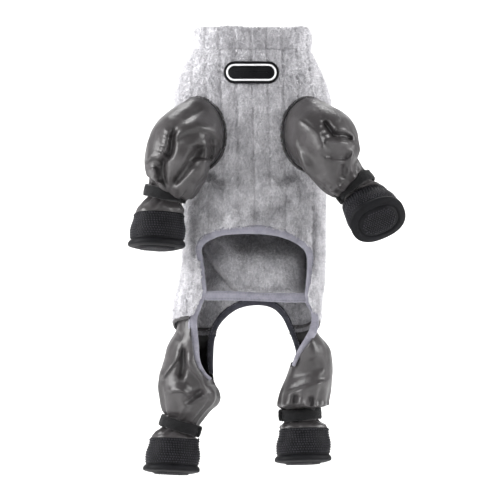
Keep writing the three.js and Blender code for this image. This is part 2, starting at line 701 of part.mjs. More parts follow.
const REACH_STEP = 0.2;
function legRing(name, down) {
  const rows = LEG_ROWS[name];
  const [x, half, front, back] = ["x", "half", "front", "back"].map(
    (key) => column(rows, key, down) * LEG_WIDTH,
  );
  const side = Math.sign(x);
  const limit = x - side * half;
  const free = smooth(0.04, 0.3, down);
  return Array.from({ length: SIDES }, (_, j) => {
    const angle = (2 * Math.PI * j) / SIDES;
    const p = V(x + half * Math.cos(angle), (angle > Math.PI ? front : back) * Math.sin(angle), 0);
    const reached = (reach) => V(x + reach * Math.cos(angle), reach * Math.sin(angle), 0);
    let held = reached(0);
    for (let reach = 0, next = held; withinHem(next.x, next.y, side, limit); next = reached(reach)) {
      held = next;
      reach += REACH_STEP;
    }
    held.y += backFold(held.x, held.y, 1);
    held.lerp(p, free);
    held.z = HEM - down * LEG_LENGTH + hemShift(held.y) * (1 - smooth(0.03, 0.4, down));
    return held;
  });
}

function legRings(name) {
  const folds = LEG_FOLDS[name].map((fold) => ({
    x1: fold.x1 * LEG_WIDTH,
    z1: HEM - fold.down1 * LEG_LENGTH,
    x2: fold.x2 * LEG_WIDTH,
    z2: HEM - fold.down2 * LEG_LENGTH,
    width: fold.width * LEG_WIDTH,
    push: fold.push * LEG_WIDTH,
  }));
  const rings = LEG_LEVELS[name].map((down) => legRing(name, down).map((p) => folded(p, folds, 0)));
  for (const d of [-STRAP_WIDTH / 2, -GAP / 2]) {
    const ring = ovalRing(moved(ankleFrame(name), d), ANKLE_WIDTH / 2, ANKLE_DEPTH / 2);
    rings.push(aligned(ring, rings.at(-1)));
  }
  return rings;
}

// The edges of the openings in the front view: x is a share of the half chest, down of the body's length
// and width of the binding's width. Both run from the left crotch to the right one.
const BELLY_EDGE = [
  { x: -0.531, down: 1.216, width: 0.4 },
  { x: -0.628, down: 1.19, width: 0.5 },
  { x: -0.705, down: 1.145, width: 0.66 },
  { x: -0.735, down: 1.09, width: 0.88 },
  { x: -0.758, down: 1.034, width: 1 },
  { x: -0.753, down: 0.986, width: 0.92 },
  { x: -0.686, down: 0.942, width: 0.72 },
  { x: -0.626, down: 0.897, width: 0.66 },
  { x: -0.634, down: 0.849, width: 0.64 },
  { x: -0.661, down: 0.782, width: 0.64 },
  { x: -0.685, down: 0.731, width: 0.7 },
  { x: -0.595, down: 0.694, width: 0.92 },
  { x: -0.395, down: 0.67, width: 0.97 },
  { x: -0.136, down: 0.663, width: 1 },
  { x: 0.129, down: 0.664, width: 1 },
  { x: 0.401, down: 0.677, width: 0.97 },
  { x: 0.608, down: 0.705, width: 0.88 },
  { x: 0.73, down: 0.742, width: 0.78 },
  { x: 0.751, down: 0.797, width: 0.7 },
  { x: 0.735, down: 0.86, width: 0.68 },
  { x: 0.721, down: 0.923, width: 0.68 },
  { x: 0.782, down: 0.957, width: 0.66 },
  { x: 0.813, down: 0.994, width: 0.8 },
  { x: 0.789, down: 1.034, width: 0.9 },
  { x: 0.718, down: 1.071, width: 0.86 },
  { x: 0.628, down: 1.108, width: 0.66 },
  { x: 0.569, down: 1.138, width: 0.51 },
  { x: 0.53, down: 1.166, width: 0.4 },
];
const TAIL_EDGE = [
  { x: -0.53, down: 1.2, width: 0.5 },
  { x: -0.546, down: 1.153, width: 0.7 },
  { x: -0.537, down: 1.086, width: 0.75 },
  { x: -0.485, down: 1.027, width: 0.7 },
  { x: -0.37, down: 0.981, width: 0.77 },
  { x: -0.194, down: 0.945, width: 0.79 },
  { x: 0.039, down: 0.931, width: 0.81 },
  { x: 0.259, down: 0.94, width: 0.77 },
  { x: 0.409, down: 0.975, width: 0.73 },
  { x: 0.511, down: 1.034, width: 0.66 },
  { x: 0.582, down: 1.086, width: 0.66 },
  { x: 0.6, down: 1.12, width: 0.55 },
  { x: 0.585, down: 1.15, width: 0.45 },
];

// Evenly spaced places along an edge, with its outward side (away from the opening) in the front view
function edgePlaces(rows, count) {
  const curve = new THREE.CatmullRomCurve3(
    rows.map((r) => V(r.x * HALF_CHEST, r.width * BINDING_WIDTH, atDepth(r.down))),
    false,
    "centripetal",
  );
  return Array.from({ length: count }, (_, i) => {
    const at = curve.getPointAt(i / (count - 1));
    const run = curve.getTangentAt(i / (count - 1));
    const length = Math.hypot(run.x, run.z);
    return { x: at.x, z: at.z, half: at.y / 2, outX: -run.z / length, outZ: run.x / length };
  });
}

function edgeSide(places, grow) {
  return places.map((p) => [p.x + p.outX * (p.half + grow), p.z + p.outZ * (p.half + grow)]);
}

// How deep the cloth's outer face lies at a place of the front view, on the belly side or behind it.
const skins = [bodySkin(), ...Object.keys(LEG_ROWS).map((name) => ringGeometry(legRings(name), false))].map(
  (geometry) => new THREE.Mesh(geometry, new THREE.MeshBasicMaterial({ side: THREE.DoubleSide })),
);
function skinDepth(x, z, way) {
  const ray = new THREE.Raycaster(V(x, -way * CLEAR_OF_BODY, z), V(0, way, 0));
  const hits = ray.intersectObjects(skins);
  return hits.length ? hits[0].point.y : null;
}

// The depth of a binding's middle at each of its places, smoothed along it
function edgeDepths(places, way) {
  const raw = places.map((p) => {
    const reach = p.half + 3 * GAP;
    return skinDepth(p.x + p.outX * reach, p.z + p.outZ * reach, way);
  });
  const known = raw.map((y, i) => y ?? raw.slice(i).find((v) => v !== null) ?? raw.findLast((v) => v !== null));
  const near = (i) => known.slice(Math.max(0, i - 1), i + 2);
  return known.map((_, i) => near(i).reduce((a, b) => a + b) / near(i).length + (way * FLEECE_WALL) / 2);
}

// A binding: a soft strip that closes the wall's edge on both faces.
function binding(rows, count, way, grow = 0) {
  const places = edgePlaces(rows, count);
  const depths = edgeDepths(places, way);
  const thick = BINDING_THICKNESS / 2 + grow;
  const rings = places.map((p, i) => {
    const corner = (side, y) =>
      V(p.x + p.outX * side * (p.half + grow), depths[i] + y, p.z + p.outZ * side * (p.half + grow));
    return [
      corner(1, -thick * 0.75),
      corner(0.1, -thick),
      corner(-1, -thick * 0.6),
      corner(-1, thick * 0.6),
      corner(0.1, thick),
      corner(1, thick * 0.75),
    ];
  });
  return ringGeometry(rings, false);
}

const BELLY_STEPS = 38;
const TAIL_STEPS = 21;
const bellyBinding = (grow) => binding(BELLY_EDGE, BELLY_STEPS, 1, grow);
const tailBinding = (grow) => binding(TAIL_EDGE, TAIL_STEPS, -1, grow);

// The cutters of the two openings: in front of the torso's middle, and behind it, each a little past it
const PAST_MIDDLE = 3.5;
const bellyEdge = edgeSide(edgePlaces(BELLY_EDGE, BELLY_STEPS), GAP);
const tailEdge = edgeSide(edgePlaces(TAIL_EDGE, TAIL_STEPS), GAP);
const bellyCut = throughCut(bellyEdge, -CLEAR_OF_BODY, PAST_MIDDLE);
const tailCut = throughCut(tailEdge, -PAST_MIDDLE, CLEAR_OF_BODY);

// The band across the belly opening, from the middle of the binding on one side to that on the other
const BAND_DOWN = { left: 0.906, right: 0.913 };
const BAND_STEPS = 10;
const BAND_BOW = 4;
function bellyBand() {
  const places = edgePlaces(BELLY_EDGE, BELLY_STEPS);
  const depths = edgeDepths(places, 1);
  const endAt = (side, down) => {
    const near = places
      .map((p, i) => ({ off: Math.abs(p.z - atDepth(down)), at: V(p.x, depths[i], atDepth(down)) }))
      .filter(({ at }) => Math.sign(at.x) === side);
    return near.reduce((best, place) => (place.off < best.off ? place : best)).at;
  };
  const left = endAt(-1, BAND_DOWN.left);
  const right = endAt(1, BAND_DOWN.right);
  const rings = Array.from({ length: BAND_STEPS + 1 }, (_, i) => {
    const t = i / BAND_STEPS;
    const centre = left.clone().lerp(right, t);
    centre.y -= BAND_BOW * Math.sin(Math.PI * t);
    const run = right.clone().sub(left).normalize();
    run.y -= ((Math.PI * BAND_BOW) / left.distanceTo(right)) * Math.cos(Math.PI * t);
    return ovalRing(frameOf(centre, run, V(0, 0, 1)), BAND_WIDTH / 2, BAND_THICKNESS / 2, 8, 6);
  });
  return ringGeometry(rings, false);
}

// The piping that runs round each hip between fleece and cloth, from and to in half chests of arc
const HIP_ARCS = { hind_left: { side: -1, from: 0.73, to: 2.24 }, hind_right: { side: 1, from: 0.73, to: 2.3 } };
function hipPiping(name, grow = 0) {
  const { side, from, to } = HIP_ARCS[name];
  const points = Array.from({ length: 18 }, (_, i) => {
    const p = bodyPoint(side * lerp(from, to, i / 17) * HALF_CHEST, HEM);
    p.addScaledVector(V(p.x, 1.3 * p.y, 0).normalize(), -PIPING_RADIUS);
    p.z += hemShift(p.y) - PIPING_RADIUS - GAP;
    return p;
  });
  return cordLine(points, PIPING_RADIUS + grow, 22);
}

// The label: a plate in the shape of a stadium on the chest, and the line raised near its edge
function stadium(halfWidth, halfHeight, count = 24) {
  const straight = halfWidth - halfHeight;
  return Array.from({ length: count }, (_, i) => {
    const angle = (2 * Math.PI * (i + 0.5)) / count;
    const side = Math.sign(Math.cos(angle));
    return [side * straight + halfHeight * Math.cos(angle), halfHeight * Math.sin(angle)];
  });
}

function labelRing(outline, scale, lift) {
  return outline.map(([x, z]) => {
    const px = x * scale;
    const pz = z * scale - LABEL_DROP;
    return V(px, skinDepth(px, pz, 1) - lift, pz);
  });
}

function labelPlate() {
  const outline = stadium(LABEL_WIDTH / 2, LABEL_HEIGHT / 2);
  const faces = [
    [0.5, LABEL_LIFT],
    [1, LABEL_LIFT],
    [1, LABEL_LIFT + LABEL_THICKNESS],
    [0.5, LABEL_LIFT + LABEL_THICKNESS],
  ];
  return ringGeometry(faces.map(([scale, lift]) => labelRing(outline, scale, lift)), false);
}

function labelLine() {
  const edge = (margin) => stadium(LABEL_WIDTH / 2 - margin, LABEL_HEIGHT / 2 - margin);
  const outer = edge(LABEL_MARGIN);
  const inner = edge(LABEL_MARGIN + LABEL_LINE);
  const low = LABEL_LIFT + LABEL_THICKNESS + 2 * GAP;
  const high = low + LABEL_LINE_HEIGHT;
  const corners = [
    [outer, low],
    [outer, high],
    [inner, high],
    [inner, low],
  ];
  return ringGeometry(corners.map(([outline, lift]) => labelRing(outline, 1, lift)), true);
}

const root = new THREE.Group();
export default root;

const MATERIALS = {
  fleece: new THREE.MeshStandardMaterial({ name: "fleece", color: "#bcbabe", roughness: 1 }),
  cloth: new THREE.MeshStandardMaterial({ name: "waterproof_cloth", color: "#5f5d5f", roughness: 0.45 }),
  binding: new THREE.MeshStandardMaterial({ name: "binding", color: "#8a8795", roughness: 0.8 }),
  dark: new THREE.MeshStandardMaterial({ name: "dark_binding", color: "#43424b", roughness: 0.8 }),
  strap: new THREE.MeshStandardMaterial({ name: "hook_and_loop", color: "#151516", roughness: 0.9 }),
  rubber: new THREE.MeshStandardMaterial({ name: "rubber", color: "#1c1c1e", roughness: 0.6 }),
  line: new THREE.MeshStandardMaterial({ name: "label_line", color: "#e8e8e8", roughness: 0.5 }),
};

function add(name, geometry, material) {
  const mesh = new THREE.Mesh(geometry, material);
  mesh.name = name;
  root.add(mesh);
}

const bodyCutters = Object.keys(ARMHOLES).map((name) =>
  wallCutter(armholeRing(name, PIPING_RADIUS + 3 * GAP), 0.75, 1.3),
);
add("body_fleece", trimmed(bodyShell(), ...bodyCutters, bellyCut, tailCut), MATERIALS.fleece);
add("collar", collar(), MATERIALS.fleece);
add("label_plate", labelPlate(), MATERIALS.rubber);
add("label_line", labelLine(), MATERIALS.line);
add("belly_binding", bellyBinding(0), MATERIALS.binding);
add("tail_binding", trimmed(tailBinding(0), bellyBinding(GAP)), MATERIALS.dark);
add("belly_band", trimmed(bellyBand(), bellyBinding(GAP)), MATERIALS.binding);
for (const name of Object.keys(SLEEVE_ROWS)) {
  const sleeve = tube(sleeveRings(name), CLOTH_WALL);
  add(`sleeve_${name}`, trimmed(sleeve, armholePiping(name, GAP)), MATERIALS.cloth);
  add(`piping_${name}`, armholePiping(name), MATERIALS.dark);
}
for (const name of Object.keys(LEG_ROWS)) {
  const leg = tube(legRings(name), CLOTH_WALL);
  const bindings = [bellyBinding(GAP), tailBinding(GAP)];
  add(`leg_${name}`, trimmed(leg, bellyCut, tailCut, ...bindings), MATERIALS.cloth);
  add(`piping_${name}`, trimmed(hipPiping(name), bellyCut, tailCut, ...bindings), MATERIALS.binding);
}
for (const name of Object.keys(LEGS)) {
  add(`strap_${name}`, strap(name), MATERIALS.strap);
  add(`shaft_${name}`, bootShaft(name), MATERIALS.cloth);
  add(`boot_${name}`, bootUpper(name), MATERIALS.rubber);
  add(`sole_${name}`, bootSole(name), MATERIALS.rubber);
}
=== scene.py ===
# %% [markdown]
# A waterproof trouser suit with boots for a small dog hangs by its collar, belly side to the camera.
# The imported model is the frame: every piece below is made where the frame says, and nothing is moved
# to fit afterwards. Lengths in the tables and functions are millimetres, and the one function that
# makes a mesh turns them into metres.

# %% The frame
import json
from itertools import product

import bpy
import numpy as np
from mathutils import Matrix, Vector

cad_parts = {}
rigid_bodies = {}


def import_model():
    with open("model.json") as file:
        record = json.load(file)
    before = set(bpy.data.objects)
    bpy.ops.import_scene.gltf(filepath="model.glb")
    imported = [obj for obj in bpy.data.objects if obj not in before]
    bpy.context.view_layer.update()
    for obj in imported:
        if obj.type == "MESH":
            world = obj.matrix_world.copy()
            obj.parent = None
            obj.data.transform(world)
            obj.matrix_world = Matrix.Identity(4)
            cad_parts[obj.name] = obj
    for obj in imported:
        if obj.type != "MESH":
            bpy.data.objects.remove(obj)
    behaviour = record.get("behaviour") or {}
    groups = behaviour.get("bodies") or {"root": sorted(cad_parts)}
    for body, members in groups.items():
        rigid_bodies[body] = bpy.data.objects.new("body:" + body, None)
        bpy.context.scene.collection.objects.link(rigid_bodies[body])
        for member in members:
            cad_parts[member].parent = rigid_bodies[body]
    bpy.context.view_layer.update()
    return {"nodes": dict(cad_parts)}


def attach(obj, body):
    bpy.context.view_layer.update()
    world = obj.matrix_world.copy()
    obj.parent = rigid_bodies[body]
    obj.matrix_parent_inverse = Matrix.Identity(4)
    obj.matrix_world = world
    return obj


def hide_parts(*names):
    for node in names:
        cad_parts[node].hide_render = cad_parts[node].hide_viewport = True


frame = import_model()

print("the frame holds", len(frame["nodes"]), "pieces")

# %% [markdown]
# The photograph looks straight at the belly side from far away, so the camera stands five metres off
# with a long lens. Its picture is 550 mm wide at the suit, and its middle lies a little left of the
# neck opening's middle and halfway down the suit.

# %% Camera
MM = 0.001
PICTURE_WIDTH = 550
CAMERA_DISTANCE = 5000
PICTURE_MIDDLE = (-2.2, -244.2)
SENSOR_WIDTH = 36
VIEW_END = 30

camera = bpy.data.objects.new("camera", bpy.data.cameras.new("camera"))
camera.data.sensor_width = SENSOR_WIDTH
camera.data.lens = SENSOR_WIDTH * CAMERA_DISTANCE / PICTURE_WIDTH
camera.data.clip_end = VIEW_END
camera.location = (PICTURE_MIDDLE[0] * MM, -CAMERA_DISTANCE * MM, PICTURE_MIDDLE[1] * MM)
camera.rotation_euler = (np.pi / 2, 0, 0)
bpy.context.scene.collection.objects.link(camera)
bpy.context.scene.camera = camera
print("lens", round(camera.data.lens), "mm")

# %% [markdown]
# Cloth is drawn here as grids of points: a row for each step down the piece and a column for each step
# round it. A table gives the few sections that shape a piece, and a smooth curve through each of its
# columns gives every row between them. The column named at says where along the piece a section lies.
# Grids are quick to make with numpy, and they keep the threads' two directions, which a sculpted or
# remeshed blob would lose.

# %% Tables, curves and grids
def table(names, *rows):
    """The columns of a table by name."""
    return dict(zip(names.split(), np.array(rows, float).T))


def along(rows, name, share):
    """A smooth curve through a column of a table, read where the at column says."""
    at, value = rows["at"], rows[name]
    slope = np.empty(len(at))
    slope[1:-1] = (value[2:] - value[:-2]) / (at[2:] - at[:-2])
    slope[[0, -1]] = (value[[1, -1]] - value[[0, -2]]) / (at[[1, -1]] - at[[0, -2]])
    i = np.clip(np.searchsorted(at, share, "right") - 1, 0, len(at) - 2)
    step = at[i + 1] - at[i]
    t = np.clip((share - at[i]) / step, 0, 1)
    low, high = slope[i] * step, slope[i + 1] * step
    rise = value[i + 1] - value[i]
    return value[i] + t * (low + t * (3 * rise - 2 * low - high + t * (low + high - 2 * rise)))


def read(rows, names, share, size=1):
    """Several columns of a table at once, as shares of a size."""
    return [along(rows, name, share) * size for name in names.split()]


def smooth(low, high, value):
    """Rises from 0 to 1 between low and high."""
    t = np.clip((value - low) / (high - low), 0, 1)
    return t * t * (3 - 2 * t)


def hump(value, low, high, fall, end):
    """Rises from 0 to 1 between low and high, and falls back between fall and end."""
    return smooth(low, high, value) * (1 - smooth(fall, end, value))


def squared(value, power):
    """A sine or cosine for a ring that is squarer than an ellipse if the power is above 2."""
    return np.sign(value) * np.abs(value) ** (2 / power)


def circle(count):
    """Even angles all the way round."""
    return np.linspace(0, 2 * np.pi, count, endpoint=False)


def around(first, second, count):
    """Even directions in a circle about each of a row of places."""
    turn = circle(count)[:, None]
    return np.cos(turn) * first[:, None] + np.sin(turn) * second[:, None]


def unit(vectors):
    """The vectors, drawn to a length of 1."""
    return vectors / np.maximum(np.linalg.norm(vectors, axis=-1, keepdims=True), 1e-9)


def run_along(line):
    """How far along a line each of its points lies."""
    return np.concatenate([[0], np.cumsum(np.linalg.norm(np.diff(line, axis=0), axis=1))])


def grid_faces(rows, columns, closed=True):
    """Four-sided faces between the neighbours of a grid."""
    i = np.arange(rows - 1)[:, None] * columns
    j = np.arange(columns if closed else columns - 1)[None, :]
    k = (j + 1) % columns
    return np.stack([i + j, i + columns + j, i + columns + k, i + k], -1).reshape(-1, 4)


def hoop_faces(rows, columns):
    """The faces of a grid that is closed both ways, like a ring's."""
    return grid_faces(rows + 1, columns) % (rows * columns)


def facing_out(points, faces):
    """The faces, turned round if they point into the piece."""
    a, b, c = (points[faces[:, i]] - points.mean(0) for i in range(3))
    return faces if np.einsum("ij,ij->", a, np.cross(b, c)) > 0 else faces[:, ::-1]


def tube(rings, faces_of=grid_faces):
    """The points and the outward faces of a row of rings."""
    points = np.reshape(rings, (-1, 3))
    return points, facing_out(points, faces_of(*np.shape(rings)[:2]))


def normals_of(points, faces):
    """The outward direction at each point of a mesh of four-sided faces."""
    across = points[faces[:, 2]] - points[faces[:, 0]]
    other = points[faces[:, 3]] - points[faces[:, 1]]
    total = np.zeros_like(points)
    for corner in range(4):
        np.add.at(total, faces[:, corner], np.cross(across, other))
    return unit(total)


def compact(faces, *columns):
    """Leaves out the points that no face uses, from each array that has a row for every point."""
    used, faces = np.unique(faces, return_inverse=True)
    return faces.reshape(-1, 4), *(column[used] for column in columns)


def thicken(points, faces, wall):
    """A sheet with a second face behind the first, and a rim round its edges."""
    count = len(points)
    inner = points - wall * normals_of(points, faces)
    edges = np.concatenate([faces[:, [i, (i + 1) % 4]] for i in range(4)])
    _, first, uses = np.unique(np.sort(edges, 1), axis=0, return_index=True, return_counts=True)
    a, b = edges[first[uses == 1]].T
    rim = np.column_stack([b, a, a + count, b + count])
    return np.vstack([points, inner]), np.vstack([faces, faces[:, ::-1] + count, rim])


def noise(points, size, seed=0):
    """Smooth lumps of a size, from -1 to 1, the same in every run."""
    cell = np.floor(points / size)
    t = points / size - cell
    t = t * t * (3 - 2 * t)
    total = np.zeros(points.shape[:-1])
    for corner in product((0, 1), repeat=3):
        mixed = (cell + corner) @ np.array([127.1, 311.7, 74.7]) + 19.19 * seed
        value = np.modf(np.sin(mixed) * 43758.5453)[0]
        total += value * np.prod(np.where(corner, t, 1 - t), axis=-1)
    return total

# %% [markdown]
# One function makes every piece. It writes a mesh straight from arrays, which is much faster than
# adding points one by one, and lets it ride on the frame's one body. A piece stands for the node of
# the frame that it is named with, or it is extra to it, as the pile and the stitches are.

# %% Making a piece
totals = {}


def piece(name, points, faces, finishes, node, extra=False, second=None):
    """A mesh from points in millimetres. Second marks the faces that take the second finish."""
    corners = faces.shape[1]
    mesh = bpy.data.meshes.new(name)
    mesh.vertices.add(len(points))
    mesh.vertices.foreach_set("co", (points * MM).astype(np.float32).ravel())
    mesh.loops.add(faces.size)
    mesh.loops.foreach_set("vertex_index", faces.astype(np.int32).ravel())
    mesh.polygons.add(len(faces))
    mesh.polygons.foreach_set("loop_start", np.arange(0, faces.size, corners, dtype=np.int32))
    mesh.polygons.foreach_set("use_smooth", np.ones(len(faces), bool))
    for finish in finishes:
        mesh.materials.append(finish)
    if second is not None:
        mesh.polygons.foreach_set("material_index", second.astype(np.int32))
    mesh.update(calc_edges=True)
    made = bpy.data.objects.new(name, mesh)
    bpy.context.scene.collection.objects.link(made)
    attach(made, "root")
    if not extra:
        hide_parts(node)
    totals[name] = len(faces) * (corners - 2)
    print(f"{name}: {totals[name]} triangles")

# %% [markdown]
# Materials are written as sums. A small class wraps the output of a node, so that an expression such as
# 1 - mask * 0.5 adds the Math nodes by itself. Colours go through Mix nodes instead, because a Math
# node would turn them grey. One method makes any other node from its type, settings and inputs.

# %% Sockets as numbers
class Wire:
    """The output of a node, which can be reckoned with as a number."""

    def __init__(self, finish, socket):
        self.finish = finish
        self.socket = socket

    def maths(self, operation, first, second):
        return self.finish.node("ShaderNodeMath", {"operation": operation}, {0: first, 1: second})

    def __add__(self, other):
        return self.maths("ADD", self, other)

    def __mul__(self, other):
        return self.maths("MULTIPLY", self, other)

    def __rsub__(self, other):
        return self.maths("SUBTRACT", other, self)

    __radd__ = __add__


class Finish:
    """A material that grows node by node."""

    def __init__(self, name, **constants):
        self.material = bpy.data.materials.new(name)
        self.material.use_nodes = True
        self.tree = self.material.node_tree
        self.surface = self.tree.nodes["Principled BSDF"]
        self.place = self.node("ShaderNodeTexCoord", output="Object")
        for title, value in constants.items():
            self.surface.inputs[title.replace("_", " ")].default_value = value

    def node(self, kind, settings=None, inputs=None, output=0):
        made = self.tree.nodes.new(kind)
        for key, value in (settings or {}).items():
            if key == "stops":
                for stop, (place, shade) in zip(made.color_ramp.elements, value):
                    stop.position = place
                    stop.color = (shade, shade, shade, 1)
            else:
                setattr(made, key, value)
        for key, value in (inputs or {}).items():
            self.plug(made.inputs[key], value)
        return Wire(self, made.outputs[output])

    def plug(self, socket, value):
        if isinstance(value, Wire):
            self.tree.links.new(value.socket, socket)
        elif hasattr(value, "__len__") and len(value) == 3 and socket.type == "RGBA":
            socket.default_value = (*value, 1)
        else:
            socket.default_value = value

    def grain(self, size, detail=2, stretch=(1, 1, 1)):
        """Noise whose grains have a size in millimetres."""
        inputs = {0: self.place, 1: stretch}
        place = self.node("ShaderNodeVectorMath", {"operation": "MULTIPLY"}, inputs)
        scale = 1 / (size * MM)
        return self.node("ShaderNodeTexNoise", {}, {"Vector": place, "Scale": scale, "Detail": detail})

    def ramp(self, value, *stops):
        return self.node("ShaderNodeValToRGB", {"stops": stops}, {"Fac": value})

    def mix(self, share, first, second):
        """A colour between two colours."""
        inputs = {"Factor": share, 6: first, 7: second}
        return self.node("ShaderNodeMix", {"data_type": "RGBA"}, inputs, output=2)

    def done(self, colour, roughness, height, depth):
        """Plugs in the colour, the roughness and a relief as deep as depth in millimetres."""
        relief = self.node("ShaderNodeBump", {}, {"Height": height, "Distance": depth * MM})
        for name, value in (("Base Color", colour), ("Roughness", roughness), ("Normal", relief)):
            self.plug(self.surface.inputs[name], value)
        return self.material

# %% [markdown]
# The suit's fleece is a short, dense plush. Its tufts show as light specks with grey between them, so
# the ground under the pile is painted darker than the tips, as painted shade between the tufts. The
# tufts themselves are real geometry, added below; here the ground and the pile get their colours,
# from grains of three sizes.

# %% Fleece finishes
def fleece(name, dark, light, depth):
    """Plush between two shades, with tufts, wider clouds and fine hairs."""
    made = Finish(name, Sheen_Weight=0.35, Sheen_Roughness=0.5, Specular_IOR_Level=0.15)
    tufts = made.grain(2.6, 3, (1, 1, 0.6))
    clouds = made.grain(16)
    share = made.ramp(tufts * 0.6 + clouds * 0.4, (0.36, 0), (0.64, 1))
    colour = made.mix(share, dark, light)
    return made.done(colour, 1.0 - tufts * 0.1, tufts + made.grain(0.9) * 0.5, depth)


# The ground's darker colour is painted shade between the tufts, not a darker cloth.
fleece_ground = fleece("fleece_ground", (0.34, 0.335, 0.36), (0.60, 0.595, 0.62), 1.4)
fleece_pile = fleece("fleece_pile", (0.42, 0.415, 0.44), (0.84, 0.83, 0.86), 0.3)
print("fleece finishes:", fleece_ground.name, fleece_pile.name)

# %% [markdown]
# The torso is a tube of rounded sections, narrower at the collar and widest at the chest. Each section
# is a superellipse, whose power of 2.3 makes it a little squarer than an ellipse, as a filled coat is.
# A point is found by how far it lies round the section from the front's middle, because the quilted
# channels are evenly spaced on the cloth, not in the front view.

# %% The torso's sections
COLLAR_WIDTH, COLLAR_DEPTH, COLLAR_HEIGHT, COLLAR_WALL = 126, 88, 25, 8
CHEST_WIDTH, CHEST_DEPTH, BODY_LENGTH = 170, 122, 297
HALF_CHEST = CHEST_WIDTH / 2
BODY_TOP = -COLLAR_HEIGHT
HEM = BODY_TOP - BODY_LENGTH
FLEECE_WALL = 3
RIB_PITCH = 17
SECTION_POWER = 2.3
BODY = table(
    "at  width  shift  front  back",
    (0, COLLAR_WIDTH / CHEST_WIDTH, 0, COLLAR_DEPTH / CHEST_DEPTH / 2, COLLAR_DEPTH / CHEST_DEPTH / 2),
    (0.035, 0.815, -0.004, 0.40, 0.42),
    (0.091, 0.909, -0.004, 0.44, 0.46),
    (0.146, 0.977, -0.002, 0.46, 0.49),
    (0.194, 1.000, 0.003, 0.475, 0.50),
    (0.276, 0.970, 0.006, 0.48, 0.51),
    (0.369, 0.938, 0.010, 0.47, 0.51),
    (0.450, 0.916, 0.013, 0.45, 0.50),
    (0.517, 0.912, 0.016, 0.44, 0.49),
    (0.609, 0.910, 0.015, 0.43, 0.49),
    (0.683, 0.912, 0.013, 0.42, 0.48),
    (0.769, 0.915, 0.011, 0.42, 0.47),
    (0.861, 0.930, -0.002, 0.41, 0.46),
    (0.909, 0.945, -0.021, 0.41, 0.46),
    (1.000, 0.955, -0.036, 0.41, 0.46),
)
LEVELS = np.linspace(0, 1, 301)
ROUND = np.linspace(0, np.pi, 181)


def measured(side):
    """The half sections on one side, read at even shares of the way round."""
    width, shift = read(BODY, "width shift", LEVELS[:, None], CHEST_WIDTH)
    front, back = read(BODY, "front back", LEVELS[:, None], CHEST_DEPTH)
    across = np.sin(ROUND) ** (2 / SECTION_POWER)
    deep = np.abs(np.cos(ROUND)) ** (2 / SECTION_POWER)
    x = shift + side * width / 2 * across
    y = np.where(np.cos(ROUND) > 0, -front, back) * deep
    step = np.hypot(np.diff(x), np.diff(y))
    run = np.concatenate([np.zeros((len(LEVELS), 1)), np.cumsum(step, 1)], 1)
    shares = np.linspace(0, 1, len(ROUND))
    even = [[np.interp(shares * r[-1], r, row) for row, r in zip(rows, run)] for rows in (x, y)]
    return np.array(even), run[:, -1]


HALVES = {side: measured(side) for side in (-1, 1)}


def half_girth(side, down):
    """How far it is round half a section."""
    left, right = (np.interp(down, LEVELS, HALVES[way][1]) for way in (-1, 1))
    return np.where(side < 0, left, right)


def skin(arc, down):
    """Points of the torso's skin, by the way round from the front's middle and the share of its length."""
    arc, down = np.broadcast_arrays(np.asarray(arc, float), down)
    level = np.clip(down, 0, 1) * (len(LEVELS) - 1)
    i = np.minimum(level.astype(int), len(LEVELS) - 2)
    place = np.clip(np.abs(arc) / half_girth(arc, down), 0, 1) * (len(ROUND) - 1)
    j = np.minimum(place.astype(int), len(ROUND) - 2)
    t, u = level - i, place - j
    found = []
    for axis in (0, 1):
        both = [
            (grid[i, j] * (1 - u) + grid[i, j + 1] * u) * (1 - t)
            + (grid[i + 1, j] * (1 - u) + grid[i + 1, j + 1] * u) * t
            for grid in (HALVES[-1][0][axis], HALVES[1][0][axis])
        ]
        found.append(np.where(arc < 0, *both))
    return np.stack([*found, BODY_TOP - down * BODY_LENGTH], -1)


print("half of the chest's girth:", round(float(half_girth(1, 0.2))), "mm")

# %% [markdown]
# Folds are pressed into the cloth along strokes drawn in the front view. A stroke has a path, how far
# it pushes the cloth to the viewer, and a width on each side of the path: a broad one where the cloth
# rolls away softly, and a narrow one where it turns under sharply and leaves a shadow.

# %% Folds along strokes
FACING_DEPTH = 8


def stroke_distance(flat, path):
    """How far points lie from a path, on which side of it, and how far along it they come nearest."""
    best = np.full(len(flat), np.inf)
    side = np.zeros(len(flat))
    share = np.zeros(len(flat))
    before = run_along(path)
    for k, (start, end) in enumerate(zip(path[:-1], path[1:])):
        run = end - start
        t = np.clip((flat - start) @ run / (run @ run), 0, 1)
        gap = flat - start - t[:, None] * run
        distance = np.linalg.norm(gap, axis=1)
        nearer = distance < best
        best[nearer] = distance[nearer]
        side[nearer] = np.sign(run[0] * gap[:, 1] - run[1] * gap[:, 0])[nearer]
        share[nearer] = ((before[k] + t * (before[k + 1] - before[k])) / before[-1])[nearer]
    return best, side, share


def bent(path, steps=6):
    """A smooth line through the points of a path."""
    path = np.array(path, float)
    if len(path) < 3:
        return path
    at = np.linspace(0, len(path) - 1, steps * (len(path) - 1) + 1)
    rows = {"at": np.arange(len(path)), "x": path[:, 0], "z": path[:, 1]}
    return np.column_stack(read(rows, "x z", at))


def press(points, strokes, middle_y=0):
    """Pushes the cloth in front of the middle along each stroke: push, left, right, path."""
    weight = np.clip((middle_y - points[:, 1]) / FACING_DEPTH, 0, 1)
    for push, left, right, *path in strokes:
        line = bent(path)
        reach = np.ptp(line, axis=0).max() + 3 * (left + right)
        near = np.abs(points[:, [0, 2]] - line.mean(0)).max(1) < reach
        distance, side, share = stroke_distance(points[near][:, [0, 2]], line)
        width = np.where(side > 0, left, right)
        ends = hump(share, 0, 0.18, 0.82, 1) * 0.8 + 0.2
        points[near, 1] -= push * ends * weight[near] * np.exp(-((distance / width) ** 2))
    return points


